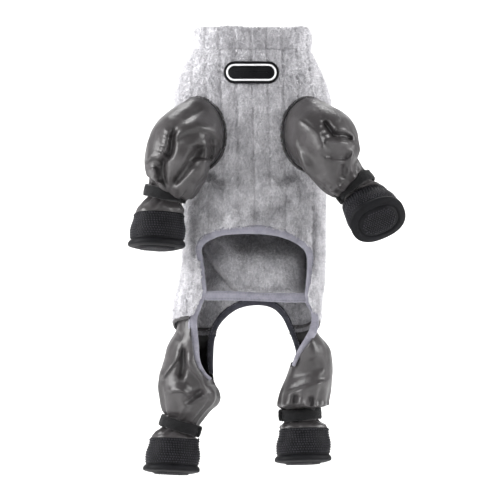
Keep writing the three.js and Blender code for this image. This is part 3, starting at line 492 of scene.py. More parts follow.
def shares(strokes, unit_x, unit_z, x0=0, z0=0, unit_push=1):
    """Strokes written as shares of a piece's sizes, in millimetres."""
    return [
        (push * unit_push, left * unit_push, right * unit_push)
        + tuple((x0 + x * unit_x, z0 + z * unit_z) for x, z in path)
        for push, left, right, *path in strokes
    ]

# %% [markdown]
# The openings' edges are drawn in the front view, from the left crotch to the right one: the belly
# opening is an arch whose sides run down to the crotches as strips, and the tail opening is the round
# cut-out behind it. The faces inside an outline are taken away, and the edge that is left is drawn onto
# the outline, which is quicker and cleaner than a boolean on so fine a mesh.

# %% The openings' edges
BINDING_WIDTH = 10
EDGE_REACH = 3
SIDE_OVERLAP = 3
BELLY_EDGE = table(
    "x  down  width",
    (-0.531, 1.216, 0.40), (-0.628, 1.190, 0.50), (-0.705, 1.145, 0.66), (-0.735, 1.090, 0.88),
    (-0.758, 1.034, 1.00), (-0.753, 0.986, 0.92), (-0.686, 0.942, 0.72), (-0.626, 0.897, 0.66),
    (-0.634, 0.849, 0.64), (-0.661, 0.782, 0.64), (-0.685, 0.731, 0.70), (-0.595, 0.694, 0.92),
    (-0.395, 0.670, 0.97), (-0.136, 0.663, 1.00), (0.129, 0.664, 1.00), (0.401, 0.677, 0.97),
    (0.608, 0.705, 0.88), (0.730, 0.742, 0.78), (0.751, 0.797, 0.70), (0.735, 0.860, 0.68),
    (0.721, 0.923, 0.68), (0.782, 0.957, 0.66), (0.813, 0.994, 0.80), (0.789, 1.034, 0.90),
    (0.718, 1.071, 0.86), (0.628, 1.108, 0.66), (0.569, 1.138, 0.51), (0.530, 1.166, 0.40),
)
TAIL_EDGE = table(
    "x  down  width",
    (-0.530, 1.200, 0.50), (-0.546, 1.153, 0.70), (-0.537, 1.086, 0.75), (-0.485, 1.027, 0.70),
    (-0.370, 0.981, 0.77), (-0.194, 0.945, 0.79), (0.039, 0.931, 0.81), (0.259, 0.940, 0.77),
    (0.409, 0.975, 0.73), (0.511, 1.034, 0.66), (0.582, 1.086, 0.66), (0.600, 1.120, 0.55),
    (0.585, 1.150, 0.45),
)


def edge_line(rows, steps):
    """Even places along an edge, the binding's half width there and the way out of the hole."""
    knots = np.arange(len(rows["x"]))
    fine = np.linspace(0, knots[-1], 40 * len(knots))
    x, down, width = read({"at": knots, **rows}, "x down width", fine)
    x, z, half = x * HALF_CHEST, BODY_TOP - down * BODY_LENGTH, width * BINDING_WIDTH / 2
    run = run_along(np.column_stack([x, z]))
    even = np.linspace(0, run[-1], steps)
    x, z, half = (np.interp(even, run, values) for values in (x, z, half))
    tangent = unit(np.column_stack([np.gradient(x), np.gradient(z)]))
    out = np.column_stack([-tangent[:, 1], tangent[:, 0]])
    return np.column_stack([x, z]), half, out


def opening(rows):
    """The outline of the cut, in the middle of the binding's outer half."""
    line, half, out = edge_line(rows, 160)
    return line + out * half[:, None] * 0.6


def inside(outline, x, z):
    """Which places of the front view lie inside an outline."""
    px, pz = outline.T
    qx, qz = np.roll(outline, -1, 0).T
    crosses = (pz > z[:, None]) != (qz > z[:, None])
    rise = np.where(qz == pz, 1, qz - pz)
    meets = px + (z[:, None] - pz) / rise * (qx - px)
    return (crosses & (x[:, None] < meets)).sum(1) % 2 == 1


def cut(points, faces, outline, reached):
    """Takes away the faces inside an outline of the front view, if all their points are reached."""
    centre = points[faces].mean(1)
    gone = inside(outline, centre[:, 0], centre[:, 2]) & reached[faces].all(1)
    edge = np.intersect1d(faces[~gone], faces[gone])
    loop = np.vstack([outline, outline[:1]])
    for index in edge:
        start, run = loop[:-1], np.diff(loop, axis=0)
        away = points[index, [0, 2]] - start
        t = np.clip((away * run).sum(1) / np.maximum((run * run).sum(1), 1e-9), 0, 1)
        nearest = start + t[:, None] * run
        off = np.linalg.norm(nearest - points[index, [0, 2]], axis=1)
        if off.min() < EDGE_REACH:
            points[index, [0, 2]] = nearest[off.argmin()]
    return faces[~gone]


belly_outline, tail_outline = opening(BELLY_EDGE), opening(TAIL_EDGE)


def cut_openings(points, faces, depth, front=SIDE_OVERLAP):
    """Cuts the belly opening out of the front half and the tail opening out of the back half."""
    faces = cut(points, faces, belly_outline, depth < front)
    return cut(points, faces, tail_outline, depth > -SIDE_OVERLAP)


print("belly opening:", round(np.ptp(belly_outline[:, 0])), "mm across")

# %% [markdown]
# The body is one sheet of double-sided fleece, sewn into channels that run down it. In front the
# channels are a fixed pitch apart, and behind the rest of the girth is shared out evenly. The back
# panel sags forward into a soft roll that lies on the band across the belly opening, so its inside
# shows through the opening; the roll's lower edge climbs to the left.

# %% The body's sheet
FRONT_CHANNELS, CHANNELS_A_SIDE, COLUMNS_A_CHANNEL = 7, 14, 8
BODY_ROWS = 150
RIB_CROWN, SEAM_DEPTH, LUMP_HEIGHT, LUMP_SIZE = 0.5, 1.2, 0.35, 6
BACK_FOLD, ROLL_DEPTH, ROLL_TUCK = 42, 32, 9
HEM_RISE, HEM_DROP, HEM_REACH = 9, 20, 0.4
ROLL_EDGE = table(
    "at  down",
    (-0.62, 0.70), (-0.52, 0.765), (-0.38, 0.82), (-0.15, 0.885), (0.10, 0.893), (0.55, 0.893), (0.66, 0.87),
)
ARMHOLE_WIDTH, ARMHOLE_HEIGHT, PIPING_RADIUS = 64, 80, 1.7
ARMHOLES = {"front_left": (-0.73, 0.313), "front_right": (0.741, 0.313)}
BODY_FOLDS = shares(
    [
        (-0.6, 0.45, 0.5, (-0.56, 0.44), (-0.42, 0.475), (-0.28, 0.49)),
        (-0.6, 0.4, 0.5, (0.62, 0.45), (0.4, 0.485), (0.3, 0.5)),
        (0.6, 1.0, 0.42, (-0.3, 0.545), (0.1, 0.515), (0.52, 0.485)),
        (-0.6, 0.5, 0.7, (-0.05, 0.61), (0.3, 0.585), (0.56, 0.54)),
        (-0.4, 0.5, 0.6, (-0.6, 0.55), (-0.45, 0.6), (-0.35, 0.64)),
        (0.35, 0.8, 0.6, (-0.3, 0.6), (-0.2, 0.64)),
        (-0.35, 0.3, 0.3, (-0.74, 0.56), (-0.72, 0.68), (-0.69, 0.78)),
        (-0.35, 0.25, 0.3, (0.76, 0.53), (0.8, 0.68), (0.77, 0.84)),
        (0.3, 0.3, 0.4, (0.88, 0.6), (0.87, 0.75), (0.8, 0.9)),
    ],
    HALF_CHEST, -BODY_LENGTH, 0, BODY_TOP, RIB_PITCH,
)


def hem_shift(y):
    """The fleece's lower edge runs up towards the front of each hip and down behind it."""
    share = np.clip(y / (HEM_REACH * CHEST_DEPTH), -1, 1)
    return np.where(share < 0, -HEM_RISE * share, -HEM_DROP * share)


def back_fold(x, y, down):
    """How far the back panel sags to the front."""
    back = along(BODY, "back", down) * CHEST_DEPTH
    behind = np.clip(y / back, 0, 1) ** 2
    across = 1 - smooth(0.3, 0.85, np.abs(x / HALF_CHEST - 0.05))
    lengthways = smooth(0.55, 0.85, down) * (1 - 0.3 * smooth(0.86, 0.95, down))
    return -BACK_FOLD * behind * across * lengthways


def roll(x, y, down):
    """The roll that lies on the band, in front of the sagging back."""
    share = x / HALF_CHEST
    above = along(ROLL_EDGE, "down", share) - down
    full = hump(above, 0, 0.014, 0.1, 0.24)
    tuck = np.where(above < 0, np.exp(-((above / 0.022) ** 2)), 0)
    sides = hump(share, -0.66, -0.5, 0.55, 0.66)
    return (ROLL_TUCK * tuck - ROLL_DEPTH * full) * sides * smooth(5, 12, y)


def channel_arc(channel, down):
    """How far round the section a channel lies: a whole number is a seam between two channels."""
    side = np.where(channel < 0, -1, 1)
    even = np.minimum(np.abs(channel), FRONT_CHANNELS) * RIB_PITCH
    left_over = (half_girth(side, down) - FRONT_CHANNELS * RIB_PITCH) / (CHANNELS_A_SIDE - FRONT_CHANNELS)
    return side * (even + np.maximum(np.abs(channel) - FRONT_CHANNELS, 0) * left_over)


def quilting(channel):
    """The relief of the channels: crowned between their seams."""
    off = np.abs(channel - np.round(channel)) * RIB_PITCH
    return RIB_CROWN * smooth(0, RIB_PITCH / 2, off) - SEAM_DEPTH * np.exp(-(off ** 2))


def round_channels():
    """The grid's columns round the torso, counted in channels from the front's middle."""
    return np.arange(2 * CHANNELS_A_SIDE * COLUMNS_A_CHANNEL) / COLUMNS_A_CHANNEL - CHANNELS_A_SIDE


def body_sheet():
    """The torso as a grid, and how deep each point lay before the back sagged."""
    channel = round_channels()[None, :]
    down = np.linspace(0, 1, BODY_ROWS)[:, None]
    points, faces = tube(skin(channel_arc(channel, down), down + 0 * channel))
    flat = np.repeat(down, channel.size, 1).ravel()
    points = press(points, BODY_FOLDS)
    relief = quilting(np.repeat(channel, BODY_ROWS, 0).ravel()) + LUMP_HEIGHT * noise(points, LUMP_SIZE)
    points += normals_of(points, faces) * relief[:, None]
    depth = points[:, 1].copy()
    shift = back_fold(points[:, 0], points[:, 1], flat) + roll(points[:, 0], points[:, 1], flat)
    points[:, 1] += shift
    points[:, 2] += hem_shift(points[:, 1]) * smooth(0.85, 1, flat)
    return points, faces, depth


def armhole(name, grow, turns):
    """The armhole's edge on the torso's skin, from its right side upwards."""
    arc, down = ARMHOLES[name]
    across = arc * HALF_CHEST + (ARMHOLE_WIDTH / 2 + grow) * np.cos(turns)
    return skin(across, down - (ARMHOLE_HEIGHT / 2 + grow) * np.sin(turns) / BODY_LENGTH)


body_points, body_faces, depth = body_sheet()
turns = circle(96)
for name in ARMHOLES:
    ring = armhole(name, 0, turns)[:, [0, 2]]
    body_faces = cut(body_points, body_faces, ring, depth < 0)
body_faces = cut_openings(body_points, body_faces, depth, 4)
body_faces, body_points, depth = compact(body_faces, body_points, depth)
sheet_faces = len(body_faces)
body_points, body_faces = thicken(body_points, body_faces, FLEECE_WALL)
piece("body", body_points, body_faces, [fleece_ground], "body_fleece")
print("body:", sheet_faces, "faces on each side")

# %% [markdown]
# The collar is a band of the same fleece, folded over to the outside and sewn down at its foot, so it
# is thick, rounded at the rim and a little wavy. Its profile is drawn once, from the foot of the
# outside over the rim to the foot of the inside, and carried round the neck.

# %% Collar
COLLAR_PROFILE = table(
    "at  in  up",
    (0, 0.12, -0.03), (0.12, -0.08, 0.08), (0.3, -0.16, 0.4), (0.45, -0.1, 0.75), (0.55, 0.08, 0.94),
    (0.65, 0.42, 1.01), (0.75, 0.75, 0.93), (0.85, 0.92, 0.6), (1, 1, -0.03),
)
COLLAR_STEPS = 34
FLATTER = (1, 1.3, 0)


def collar_sheet():
    """The collar as a grid whose rows follow the profile."""
    channel = round_channels()
    ring = skin(channel_arc(channel, 0), 0)
    out = unit(ring * FLATTER)
    share = np.linspace(0, 1, COLLAR_STEPS)[:, None]
    inward = along(COLLAR_PROFILE, "in", share) * COLLAR_WALL
    up = along(COLLAR_PROFILE, "up", share)
    angle = circle(len(channel))
    wave = 0.7 * np.sin(5 * angle + 0.6) + 0.5 * np.sin(11 * angle + 2)
    grooves = np.where(inward < 0.6 * COLLAR_WALL, 1, 0.3) * smooth(-0.1, 0.15, up)
    lift = quilting(channel + 0.12)[None, :] * grooves - inward
    points = ring[None] + out[None] * lift[..., None]
    points[..., 2] = BODY_TOP + up * (COLLAR_HEIGHT - 1.5) + wave[None] * np.clip(up, 0, 1) ** 2
    return tube(points)


collar_points, collar_faces = collar_sheet()
piece("collar_fleece", collar_points, collar_faces, [fleece_ground], "collar")

# %% [markdown]
# Pile could be a particle system, but hair isn't a mesh, and the finished model is made of meshes. So
# each tuft is a small three-sided spike, rooted in the fleece, leaning down the coat and a little at
# random, and thousands of them are joined into one mesh for each side of the suit.

# %% Pile
TUFT_LENGTH, TUFT_WIDTH, TUFT_ROOT = 3.6, 1.0, 0.4
COAT_BORDER = -8
DOWN_THE_COAT = (0, 0, -1)


def pile(name, points, faces, count, node, seed,
         length=TUFT_LENGTH, width=TUFT_WIDTH, grain=DOWN_THE_COAT, finish=fleece_pile):
    """Tufts all over some faces."""
    draw = np.random.default_rng(seed)
    a, b, c, d = (points[faces[:, i]] for i in range(4))
    normal = np.cross(c - a, d - b)
    size = np.linalg.norm(normal, axis=1)
    pick = draw.choice(len(faces), count, p=size / size.sum())
    u, v = draw.random((2, count, 1))
    root = (a[pick] * (1 - u) + b[pick] * u) * (1 - v) + (d[pick] * (1 - u) + c[pick] * u) * v
    normal = unit(normal[pick])
    comb = noise(root, 14, seed)[:, None] * np.array([0.5, 0, 0.15]) + grain
    lean = unit(normal * 0.62 + comb * 0.5 + draw.normal(0, 0.3, (count, 3)))
    first = unit(np.cross(normal, draw.normal(0, 1, (count, 3))))
    second = np.cross(normal, first)
    tall = length * draw.uniform(0.55, 1.1, (count, 1))
    wide = width * draw.uniform(0.7, 1.2, (count, 1)) / 2
    foot = root - TUFT_ROOT * normal
    feet = [foot + wide * (np.cos(turn) * first + np.sin(turn) * second) for turn in (0, 2.09, 4.19)]
    made = np.stack([*feet, root + lean * tall], 1).reshape(-1, 3)
    base = np.arange(count)[:, None] * 4
    spikes = np.concatenate([base + side for side in ((0, 1, 3), (1, 2, 3), (2, 0, 3))])
    piece(name, made, spikes, [finish], node, extra=True)


face_depth = np.tile(depth, 2)[body_faces].mean(1)
face_down = (BODY_TOP - body_points[body_faces][..., 2].mean(1)) / BODY_LENGTH
outer = np.arange(len(body_faces)) < sheet_faces
inner = (np.arange(len(body_faces)) < 2 * sheet_faces) & ~outer
COATS = {
    "pile_front": (outer & (face_depth < COAT_BORDER), 42000, 1),
    "pile_back": (outer & (face_depth >= COAT_BORDER), 34000, 2),
    "pile_inside": (inner & (face_depth > -5) & (face_down > 0.6), 22000, 3),
}
for name, (kept, count, seed) in COATS.items():
    pile(name, body_points, body_faces[kept], count, "body_fleece", seed)
pile("pile_collar", collar_points, collar_faces, 22000, "collar", 4, length=3.2, grain=(0, 0, 0.2))

# %% [markdown]
# Each leg hangs from its own place: a front leg from its armhole, a hind leg from the hem. The table of
# directions is the frame's own, so straps, shafts and boots land where the frame has them. Fall runs
# from the leg's root to the strap, foot from the strap to the sole; run, across, faces and toe are
# directions through the strap, across it, out of the sole and along the boot.

# %% Where the legs end
SLEEVE_WIDTH, SLEEVE_LENGTH = 66, 75
LEG_WIDTH, LEG_LENGTH = 58, 108
ANKLE_WIDTH, ANKLE_DEPTH = 40, 30
STRAP_WIDTH, STRAP_THICKNESS, TAB_LENGTH = 12, 3, 13
BOOT_LENGTH, BOOT_WIDTH, BOOT_HEIGHT, SOLE_THICKNESS = 60, 50, 29, 8
FOOT_LENGTH = 54
GAP = 0.3
LEGS = {
    "front_left": {
        "fall": (-0.52, -0.14, -0.867), "run": (-0.2, 0, -0.98), "across": (0.98, 0, -0.2),
        "foot": (-0.176, -0.148, -1.093), "faces": (-0.02, -0.16, -0.98), "toe": (-0.94, -0.34, 0.13),
    },
    "front_right": {
        "fall": (0.708, -0.308, -0.773), "run": (0.58, -0.3, -0.76), "across": (0.81, 0, 0.58),
        "foot": (0.463, -0.556, -0.685), "faces": (0.27, -0.81, -0.52), "toe": (0.9, 0.05, 0.38),
    },
    "hind_left": {
        "fall": (-1.362, 0.034, -1.069), "run": (-0.3, 0, -0.95), "across": (0.95, 0, -0.3),
        "foot": (-0.185, -0.111, -0.954), "faces": (-0.04, -0.1, -0.99), "toe": (-0.96, -0.3, 0.05),
    },
    "hind_right": {
        "fall": (0.914, 0.034, -0.954), "run": (0.06, 0, -1), "across": (1, 0, 0.06),
        "foot": (0.056, -0.111, -0.981), "faces": (0.03, -0.1, -0.99), "toe": (-0.97, -0.25, 0.03),
    },
}


def placed(centre, run, across):
    """A place with the directions of its width, its depth and its run."""
    along_run = unit(np.array(run, float))
    wide = unit(np.array(across, float) - np.dot(across, along_run) * along_run)
    return centre, wide, np.cross(along_run, wide), along_run


def oval(place, half_width, half_depth, angles, power=2.0):
    """A ring round a place, from its right side; a power above 2 squares it off."""
    centre, wide, deep, _ = place
    u = half_width * squared(np.cos(angles), power)
    v = half_depth * squared(np.sin(angles), power)
    return centre + u[:, None] * wide + v[:, None] * deep


def moved(place, distance):
    """The same place, further along its run."""
    centre, wide, deep, along_run = place
    return centre + distance * along_run, wide, deep, along_run


def ankle(name):
    """The place of a leg's strap."""
    leg = LEGS[name]
    fall = np.array(leg["fall"])
    if name in ARMHOLES:
        centre = armhole(name, 0, turns).mean(0) + fall * SLEEVE_LENGTH
    else:
        centre = np.array([0, 0, HEM]) + fall * (LEG_WIDTH, LEG_WIDTH, LEG_LENGTH)
    return placed(centre, leg["run"], leg["across"])


def ankle_ring(name, distance, angles):
    """A ring of the leg at a distance beyond the middle of its strap."""
    return oval(moved(ankle(name), distance), ANKLE_WIDTH / 2, ANKLE_DEPTH / 2, angles)


def loft(keys, at, shares_down):
    """Rings between key rings, on smooth curves from each point to its next."""
    flat = np.array(keys).reshape(len(at), -1).T
    made = [along({"at": np.array(at), "value": line}, "value", shares_down) for line in flat]
    return np.array(made).T.reshape(len(shares_down), -1, 3)


def matched(ring, other):
    """The ring, numbered so that its points lie nearest to the other's."""
    turned = [np.roll(way, shift, 0) for way in (ring, ring[::-1]) for shift in range(len(ring))]
    return min(turned, key=lambda made: ((made - other) ** 2).sum())


print("ankles:", {name: ankle(name)[0].round().tolist() for name in LEGS})

# %% [markdown]
# The sleeves and legs are a coated waterproof cloth: warm dark grey, smooth, with a soft gloss that
# draws long highlights on the folds. Their inside is painted near-black, as painted shade for the
# hollows of the legs. The weave is far finer than a pixel, so it is a light bump, with a second one
# for the small dents that a coating keeps.

# %% Waterproof cloth finishes
def coated(name, dark, light, gloss):
    """Waterproof cloth, cloudy between two shades, with dents and a fine weave."""
    made = Finish(name, Specular_IOR_Level=0.45, Coat_Weight=0.06, Coat_Roughness=0.3)
    clouds = made.grain(22)
    dents = made.grain(5, 3)
    weave = made.grain(0.5, 1)
    colour = made.mix(made.ramp(clouds, (0.35, 0), (0.65, 1)), dark, light)
    return made.done(colour, dents * 0.18 + gloss, dents + weave * 0.12, 0.35)


cloth_outside = coated("waterproof_cloth", (0.040, 0.037, 0.038), (0.062, 0.058, 0.060), 0.26)
# The inside's near-black is painted shade for the hollows inside the legs.
cloth_inside = coated("cloth_inside", (0.006, 0.006, 0.006), (0.011, 0.010, 0.010), 0.55)
print("cloth finishes:", cloth_outside.name, cloth_inside.name)

# %% [markdown]
# A sleeve is lofted from the armhole to the strap. Its sections stand off the straight line between the
# two, because the leg inside it would be bent; then the creases are pressed in along strokes. The big
# ones follow the photograph: on the left sleeve a lip that folds over a dark hollow and a gathered
# crease, on the right one a pinched knot over a tucked flap.

# %% Sleeves
CLOTH_WALL = 1.2
SLEEVES = {
    "front_left": table(
        "at  x  y  z  width  depth",
        (0, 0, 0, 0, 1, 1),
        (0.2, -0.16, -0.26, 0.12, 1.16, 1),
        (0.4, -0.13, -0.33, 0.106, 1.16, 0.9),
        (0.6, -0.05, -0.28, 0.08, 1.12, 0.8),
        (0.75, 0.007, -0.2, 0.07, 1.04, 0.72),
        (0.88, 0.05, -0.1, 0.04, 0.88, 0.62),
        (1, 0, 0, 0, 0.61, 0.45),
    ),
    "front_right": table(
        "at  x  y  z  width  depth",
        (0, 0, 0, 0, 1, 1),
        (0.2, 0.1, -0.26, 0.15, 1.14, 1),
        (0.4, 0.04, -0.32, 0.14, 1.1, 0.9),
        (0.6, -0.06, -0.27, 0.1, 1.02, 0.8),
        (0.75, -0.1, -0.18, 0.05, 0.84, 0.7),
        (0.88, -0.07, -0.08, 0.03, 0.75, 0.6),
        (1, 0, 0, 0, 0.61, 0.45),
    ),
}
SLEEVE_STROKES = {
    "front_left": [
        (-0.17, 0.2, 0.2, (0.05, -0.18), (0.06, -0.45)),
        (0.11, 0.2, 0.035, (-0.51, -0.37), (-0.47, -0.17), (-0.38, -0.04), (-0.22, 0.05), (-0.02, 0.08),
         (0.18, 0.02), (0.31, -0.11), (0.37, -0.28), (0.35, -0.44), (0.24, -0.58)),
        (-0.13, 0.05, 0.05, (0.15, -0.05), (0.18, -0.25), (0.16, -0.45)),
        (0.09, 0.02, 0.12, (0.08, -0.12), (0.1, -0.37), (0.07, -0.62), (-0.11, -0.87)),
        (-0.14, 0.09, 0.06, (0.02, -0.15), (-0.2, -0.5), (-0.47, -0.87)),
        (0.06, 0.1, 0.03, (-0.04, -0.51), (-0.25, -0.75), (-0.5, -0.96)),
        (-0.19, 0.05, 0.05, (-0.38, 0.12), (-0.46, -0.08), (-0.5, -0.31), (-0.6, -0.47), (-0.61, -0.69),
         (-0.54, -0.93)),
        (0.11, 0.16, 0.03, (-0.96, -0.55), (-0.9, -0.46), (-0.76, -0.39), (-0.6, -0.43)),
        (0.07, 0.06, 0.06, (-0.8, -0.55), (-0.74, -0.72)),
        (-0.1, 0.04, 0.04, (-0.7, -0.5), (-0.67, -0.82)),
        (-0.08, 0.05, 0.09, (0.06, 0.44), (-0.1, 0.32), (-0.29, 0.18)),
        (0.05, 0.12, 0.12, (-0.45, 0.3), (-0.7, -0.1)),
    ],
    "front_right": [
        (0.05, 0.12, 0.12, (0.5, 0.2), (0.66, 0.03)),
        (-0.17, 0.05, 0.05, (0.27, 0.21), (0.38, 0.05), (0.47, -0.08)),
        (-0.16, 0.05, 0.03, (0.46, -0.06), (0.6, -0.04), (0.76, -0.11)),
        (0.08, 0.02, 0.1, (0.28, -0.19), (0.38, -0.145), (0.56, -0.144), (0.75, -0.17)),
        (-0.07, 0.1, 0.02, (0.28, -0.37), (0.44, -0.41), (0.66, -0.41), (0.75, -0.26)),
        (0.09, 0.06, 0.14, (-0.22, 0.28), (0.0, 0.14), (0.19, -0.04), (0.26, -0.26), (0.29, -0.4)),
        (-0.09, 0.12, 0.12, (-0.2, 0.03), (-0.05, -0.26), (0.16, -0.5), (0.25, -0.8)),
        (0.05, 0.1, 0.03, (-0.29, -0.22), (-0.15, -0.5), (0.0, -0.75), (0.26, -1.03)),
        (0.07, 0.05, 0.07, (0.75, -0.22), (0.74, -0.69)),
        (-0.06, 0.05, 0.05, (0.62, -0.5), (0.6, -0.75)),
        (-0.07, 0.04, 0.04, (0.31, -0.8), (0.28, -1.0)),
        (0.05, 0.03, 0.04, (0.57, -0.85), (0.35, -1.01)),
        (0.03, 0.06, 0.06, (0.26, 0.43), (0.28, 0.21)),
    ],
}
GATHERS = {
    "front_left": ((-0.46, -0.02), (-0.52, -0.42), (-0.17, 0.1), 5),
    "front_right": ((0.3, 0.14), (0.46, -0.1), (-0.15, -0.03), 4),
}
SLEEVE_ROWS, SLEEVE_COLUMNS = 92, 112
SLEEVE_PLEATS, SLEEVE_PLEAT_DEPTH = 10, 3.4


def gathers(name):
    """Short ridges that run off a crease, side by side."""
    start, end, reach, count = GATHERS[name]
    ridges = []
    for k in range(count):
        x, z = np.array(start) + (np.array(end) - start) * k / (count - 1)
        ridges.append((0.05, 0.03, 0.03, (x, z), (x + reach[0], z + reach[1])))
    return ridges


def pleats(rings, strength, count, seed):
    """Draws the cloth in between even pleats, where it is gathered under a strap."""
    angles = circle(rings.shape[1])
    wander = np.sin(3 * angles + seed) + 0.5 * np.sin(7 * angles + 2 * seed)
    depth = (0.5 - 0.5 * np.cos(count * angles + wander)) * strength[:, None]
    return rings + unit(rings.mean(1)[:, None] - rings) * depth[..., None]


def lumpy(rings, down, free, *lumps):
    """The mesh of rings of cloth, with lumps of some heights and sizes where the cloth is free."""
    points, faces = tube(rings)
    amount = np.repeat(hump(down, *free), rings.shape[1])
    height = sum(tall * noise(points, size, seed) for tall, size, seed in lumps)
    return points + normals_of(points, faces) * (height * amount)[:, None], faces


def waterproof(node, points, faces):
    """Coated cloth with a wall, whose second half of faces is its inside, painted near-black as shade."""
    points, faces = thicken(points, faces, CLOTH_WALL)
    second = np.arange(len(faces)) >= len(faces) // 2
    piece(node + "_cloth", points, faces, [cloth_outside, cloth_inside], node, second=second)


def sleeve(name):
    """A front leg's cloth, from the armhole to the strap."""
    angles = circle(SLEEVE_COLUMNS)
    hole = armhole(name, 0, angles)
    quarter = SLEEVE_COLUMNS // 4
    across = unit(hole[0] - hole[2 * quarter])
    out = unit(np.cross(across, hole[quarter] - hole[3 * quarter]))
    root, end = hole.mean(0), ankle(name)
    rows = SLEEVES[name]
    keys = [armhole(name, -PIPING_RADIUS - 3 * GAP, angles) + 2 * GAP * out, hole + 4 * PIPING_RADIUS * out]
    at = [0.02, 0.1]

    def centre(share):
        offset = np.array(read(rows, "x y z", share, SLEEVE_WIDTH))
        return root + (end[0] - root) * share + offset

    for share in np.linspace(0.22, 0.92, 12):
        run = unit(centre(min(1, share + 0.08)) - centre(share - 0.08))
        run = run + (out - run) * (1 - smooth(0, 0.4, share))
        wide = across + (end[1] - across) * smooth(0.2, 1, share)
        halves = read(rows, "width depth", share, SLEEVE_WIDTH / 2)
        keys.append(oval(placed(centre(share), run, wide), *halves, angles))
        at.append(share)
    for share, distance in ((1, -STRAP_WIDTH / 2), (1.06, -GAP / 2)):
        keys.append(ankle_ring(name, distance, angles))
        at.append(share)
    down = np.linspace(at[0], at[-1], SLEEVE_ROWS)
    rings = loft(keys, at, down)
    middle = np.repeat(rings.mean(1)[:, 1], SLEEVE_COLUMNS)
    strength = SLEEVE_PLEAT_DEPTH * hump(down, 0.6, 0.97, 0.98, 1.02)
    rings = pleats(rings, strength, SLEEVE_PLEATS, len(name))
    points, faces = lumpy(rings, down, (0.03, 0.2, 0.95, 1), (1.1, 19, 5), (0.4, 8, 6))
    strokes = SLEEVE_STROKES[name] + gathers(name)
    strokes = shares(strokes, SLEEVE_WIDTH, SLEEVE_WIDTH, root[0], root[2], SLEEVE_WIDTH)
    return press(points, strokes, middle), faces


for name in SLEEVES:
    waterproof("sleeve_" + name, *sleeve(name))

# %% [markdown]
# A hind leg is sewn into the body just above the hem, so its first rows follow the fleece from inside
# and share its sag; below the hem they pass over into the leg's own sections. The two openings cut it
# as they cut the body, which is why the inside of the cloth, painted near-black as shade, shows in the
# crotches.

# %% Hind legs
LEG_ROWS = {
    "hind_left": table(
        "at  x  half  front  back",
        (-0.08, -1.024, 0.455, 0.7, 0.86), (0.09, -1.095, 0.479, 0.66, 0.86),
        (0.25, -1.124, 0.488, 0.62, 0.8), (0.4, -1.166, 0.503, 0.58, 0.7),
        (0.53, -1.233, 0.522, 0.55, 0.62), (0.62, -1.252, 0.531, 0.54, 0.56),
        (0.69, -1.225, 0.565, 0.53, 0.54), (0.76, -1.185, 0.59, 0.52, 0.54),
        (0.84, -1.2, 0.57, 0.5, 0.5), (0.93, -1.261, 0.465, 0.42, 0.42),
    ),
    "hind_right": table(
        "at  x  half  front  back",
        (-0.08, 0.934, 0.365, 0.7, 0.86), (0.09, 1.015, 0.36, 0.66, 0.86), (0.25, 1.086, 0.384, 0.62, 0.8),
        (0.4, 1.128, 0.389, 0.57, 0.7), (0.55, 1.093, 0.43, 0.54, 0.62), (0.71, 1.011, 0.487, 0.53, 0.56),
        (0.81, 0.972, 0.507, 0.5, 0.52), (0.88, 0.963, 0.498, 0.48, 0.5),
    ),
}
LEG_END = {"hind_left": 0.92, "hind_right": 0.87}
LEG_STROKES = {
    "hind_left": [
        (-0.1, 0.06, 0.06, (-1.5, 0.12), (-1.3, 0.16)),
        (0.09, 0.03, 0.14, (-1.34, 0.24), (-1.38, 0.35), (-1.74, 0.61)),
        (0.09, 0.14, 0.03, (-1.25, 0.31), (-1.2, 0.43), (-0.95, 0.6), (-0.8, 0.83)),
        (-0.13, 0.06, 0.08, (-1.3, 0.25), (-1.28, 0.42), (-1.33, 0.6)),
        (-0.12, 0.07, 0.07, (-1.28, 0.85), (-1.1, 0.76), (-0.9, 0.7)),
        (0.09, 0.1, 0.03, (-1.6, 0.72), (-1.35, 0.7), (-1.1, 0.78)),
        (-0.13, 0.07, 0.07, (-0.76, 0.58), (-0.76, 0.66)),
        (0.06, 0.12, 0.12, (-1.2, 0.9), (-1.4, 0.66)),
    ],
    "hind_right": [
        (0.12, 0.05, 0.16, (0.55, 0.77), (1.0, 0.68), (1.46, 0.6)),
        (-0.08, 0.2, 0.1, (0.6, 0.6), (1.0, 0.52), (1.4, 0.45)),
        (0.12, 0.12, 0.03, (0.47, 0.87), (0.9, 0.83), (1.08, 0.88), (1.44, 0.95)),
        (-0.08, 0.05, 0.05, (0.8, 0.84), (0.85, 0.74)),
        (-0.08, 0.05, 0.05, (1.1, 0.87), (1.12, 0.76)),
        (0.06, 0.12, 0.12, (1.1, 0.15), (1.2, 0.4)),
    ],
}
LEG_GRID_ROWS, LEG_COLUMNS = 100, 120
LEG_PLEATS, LEG_PLEAT_DEPTH = 11, 3.6
RIB_ROOM, REACH_STEP = 1.6, 0.4
HEM_ROOM = FLEECE_WALL + RIB_ROOM + 2 * GAP


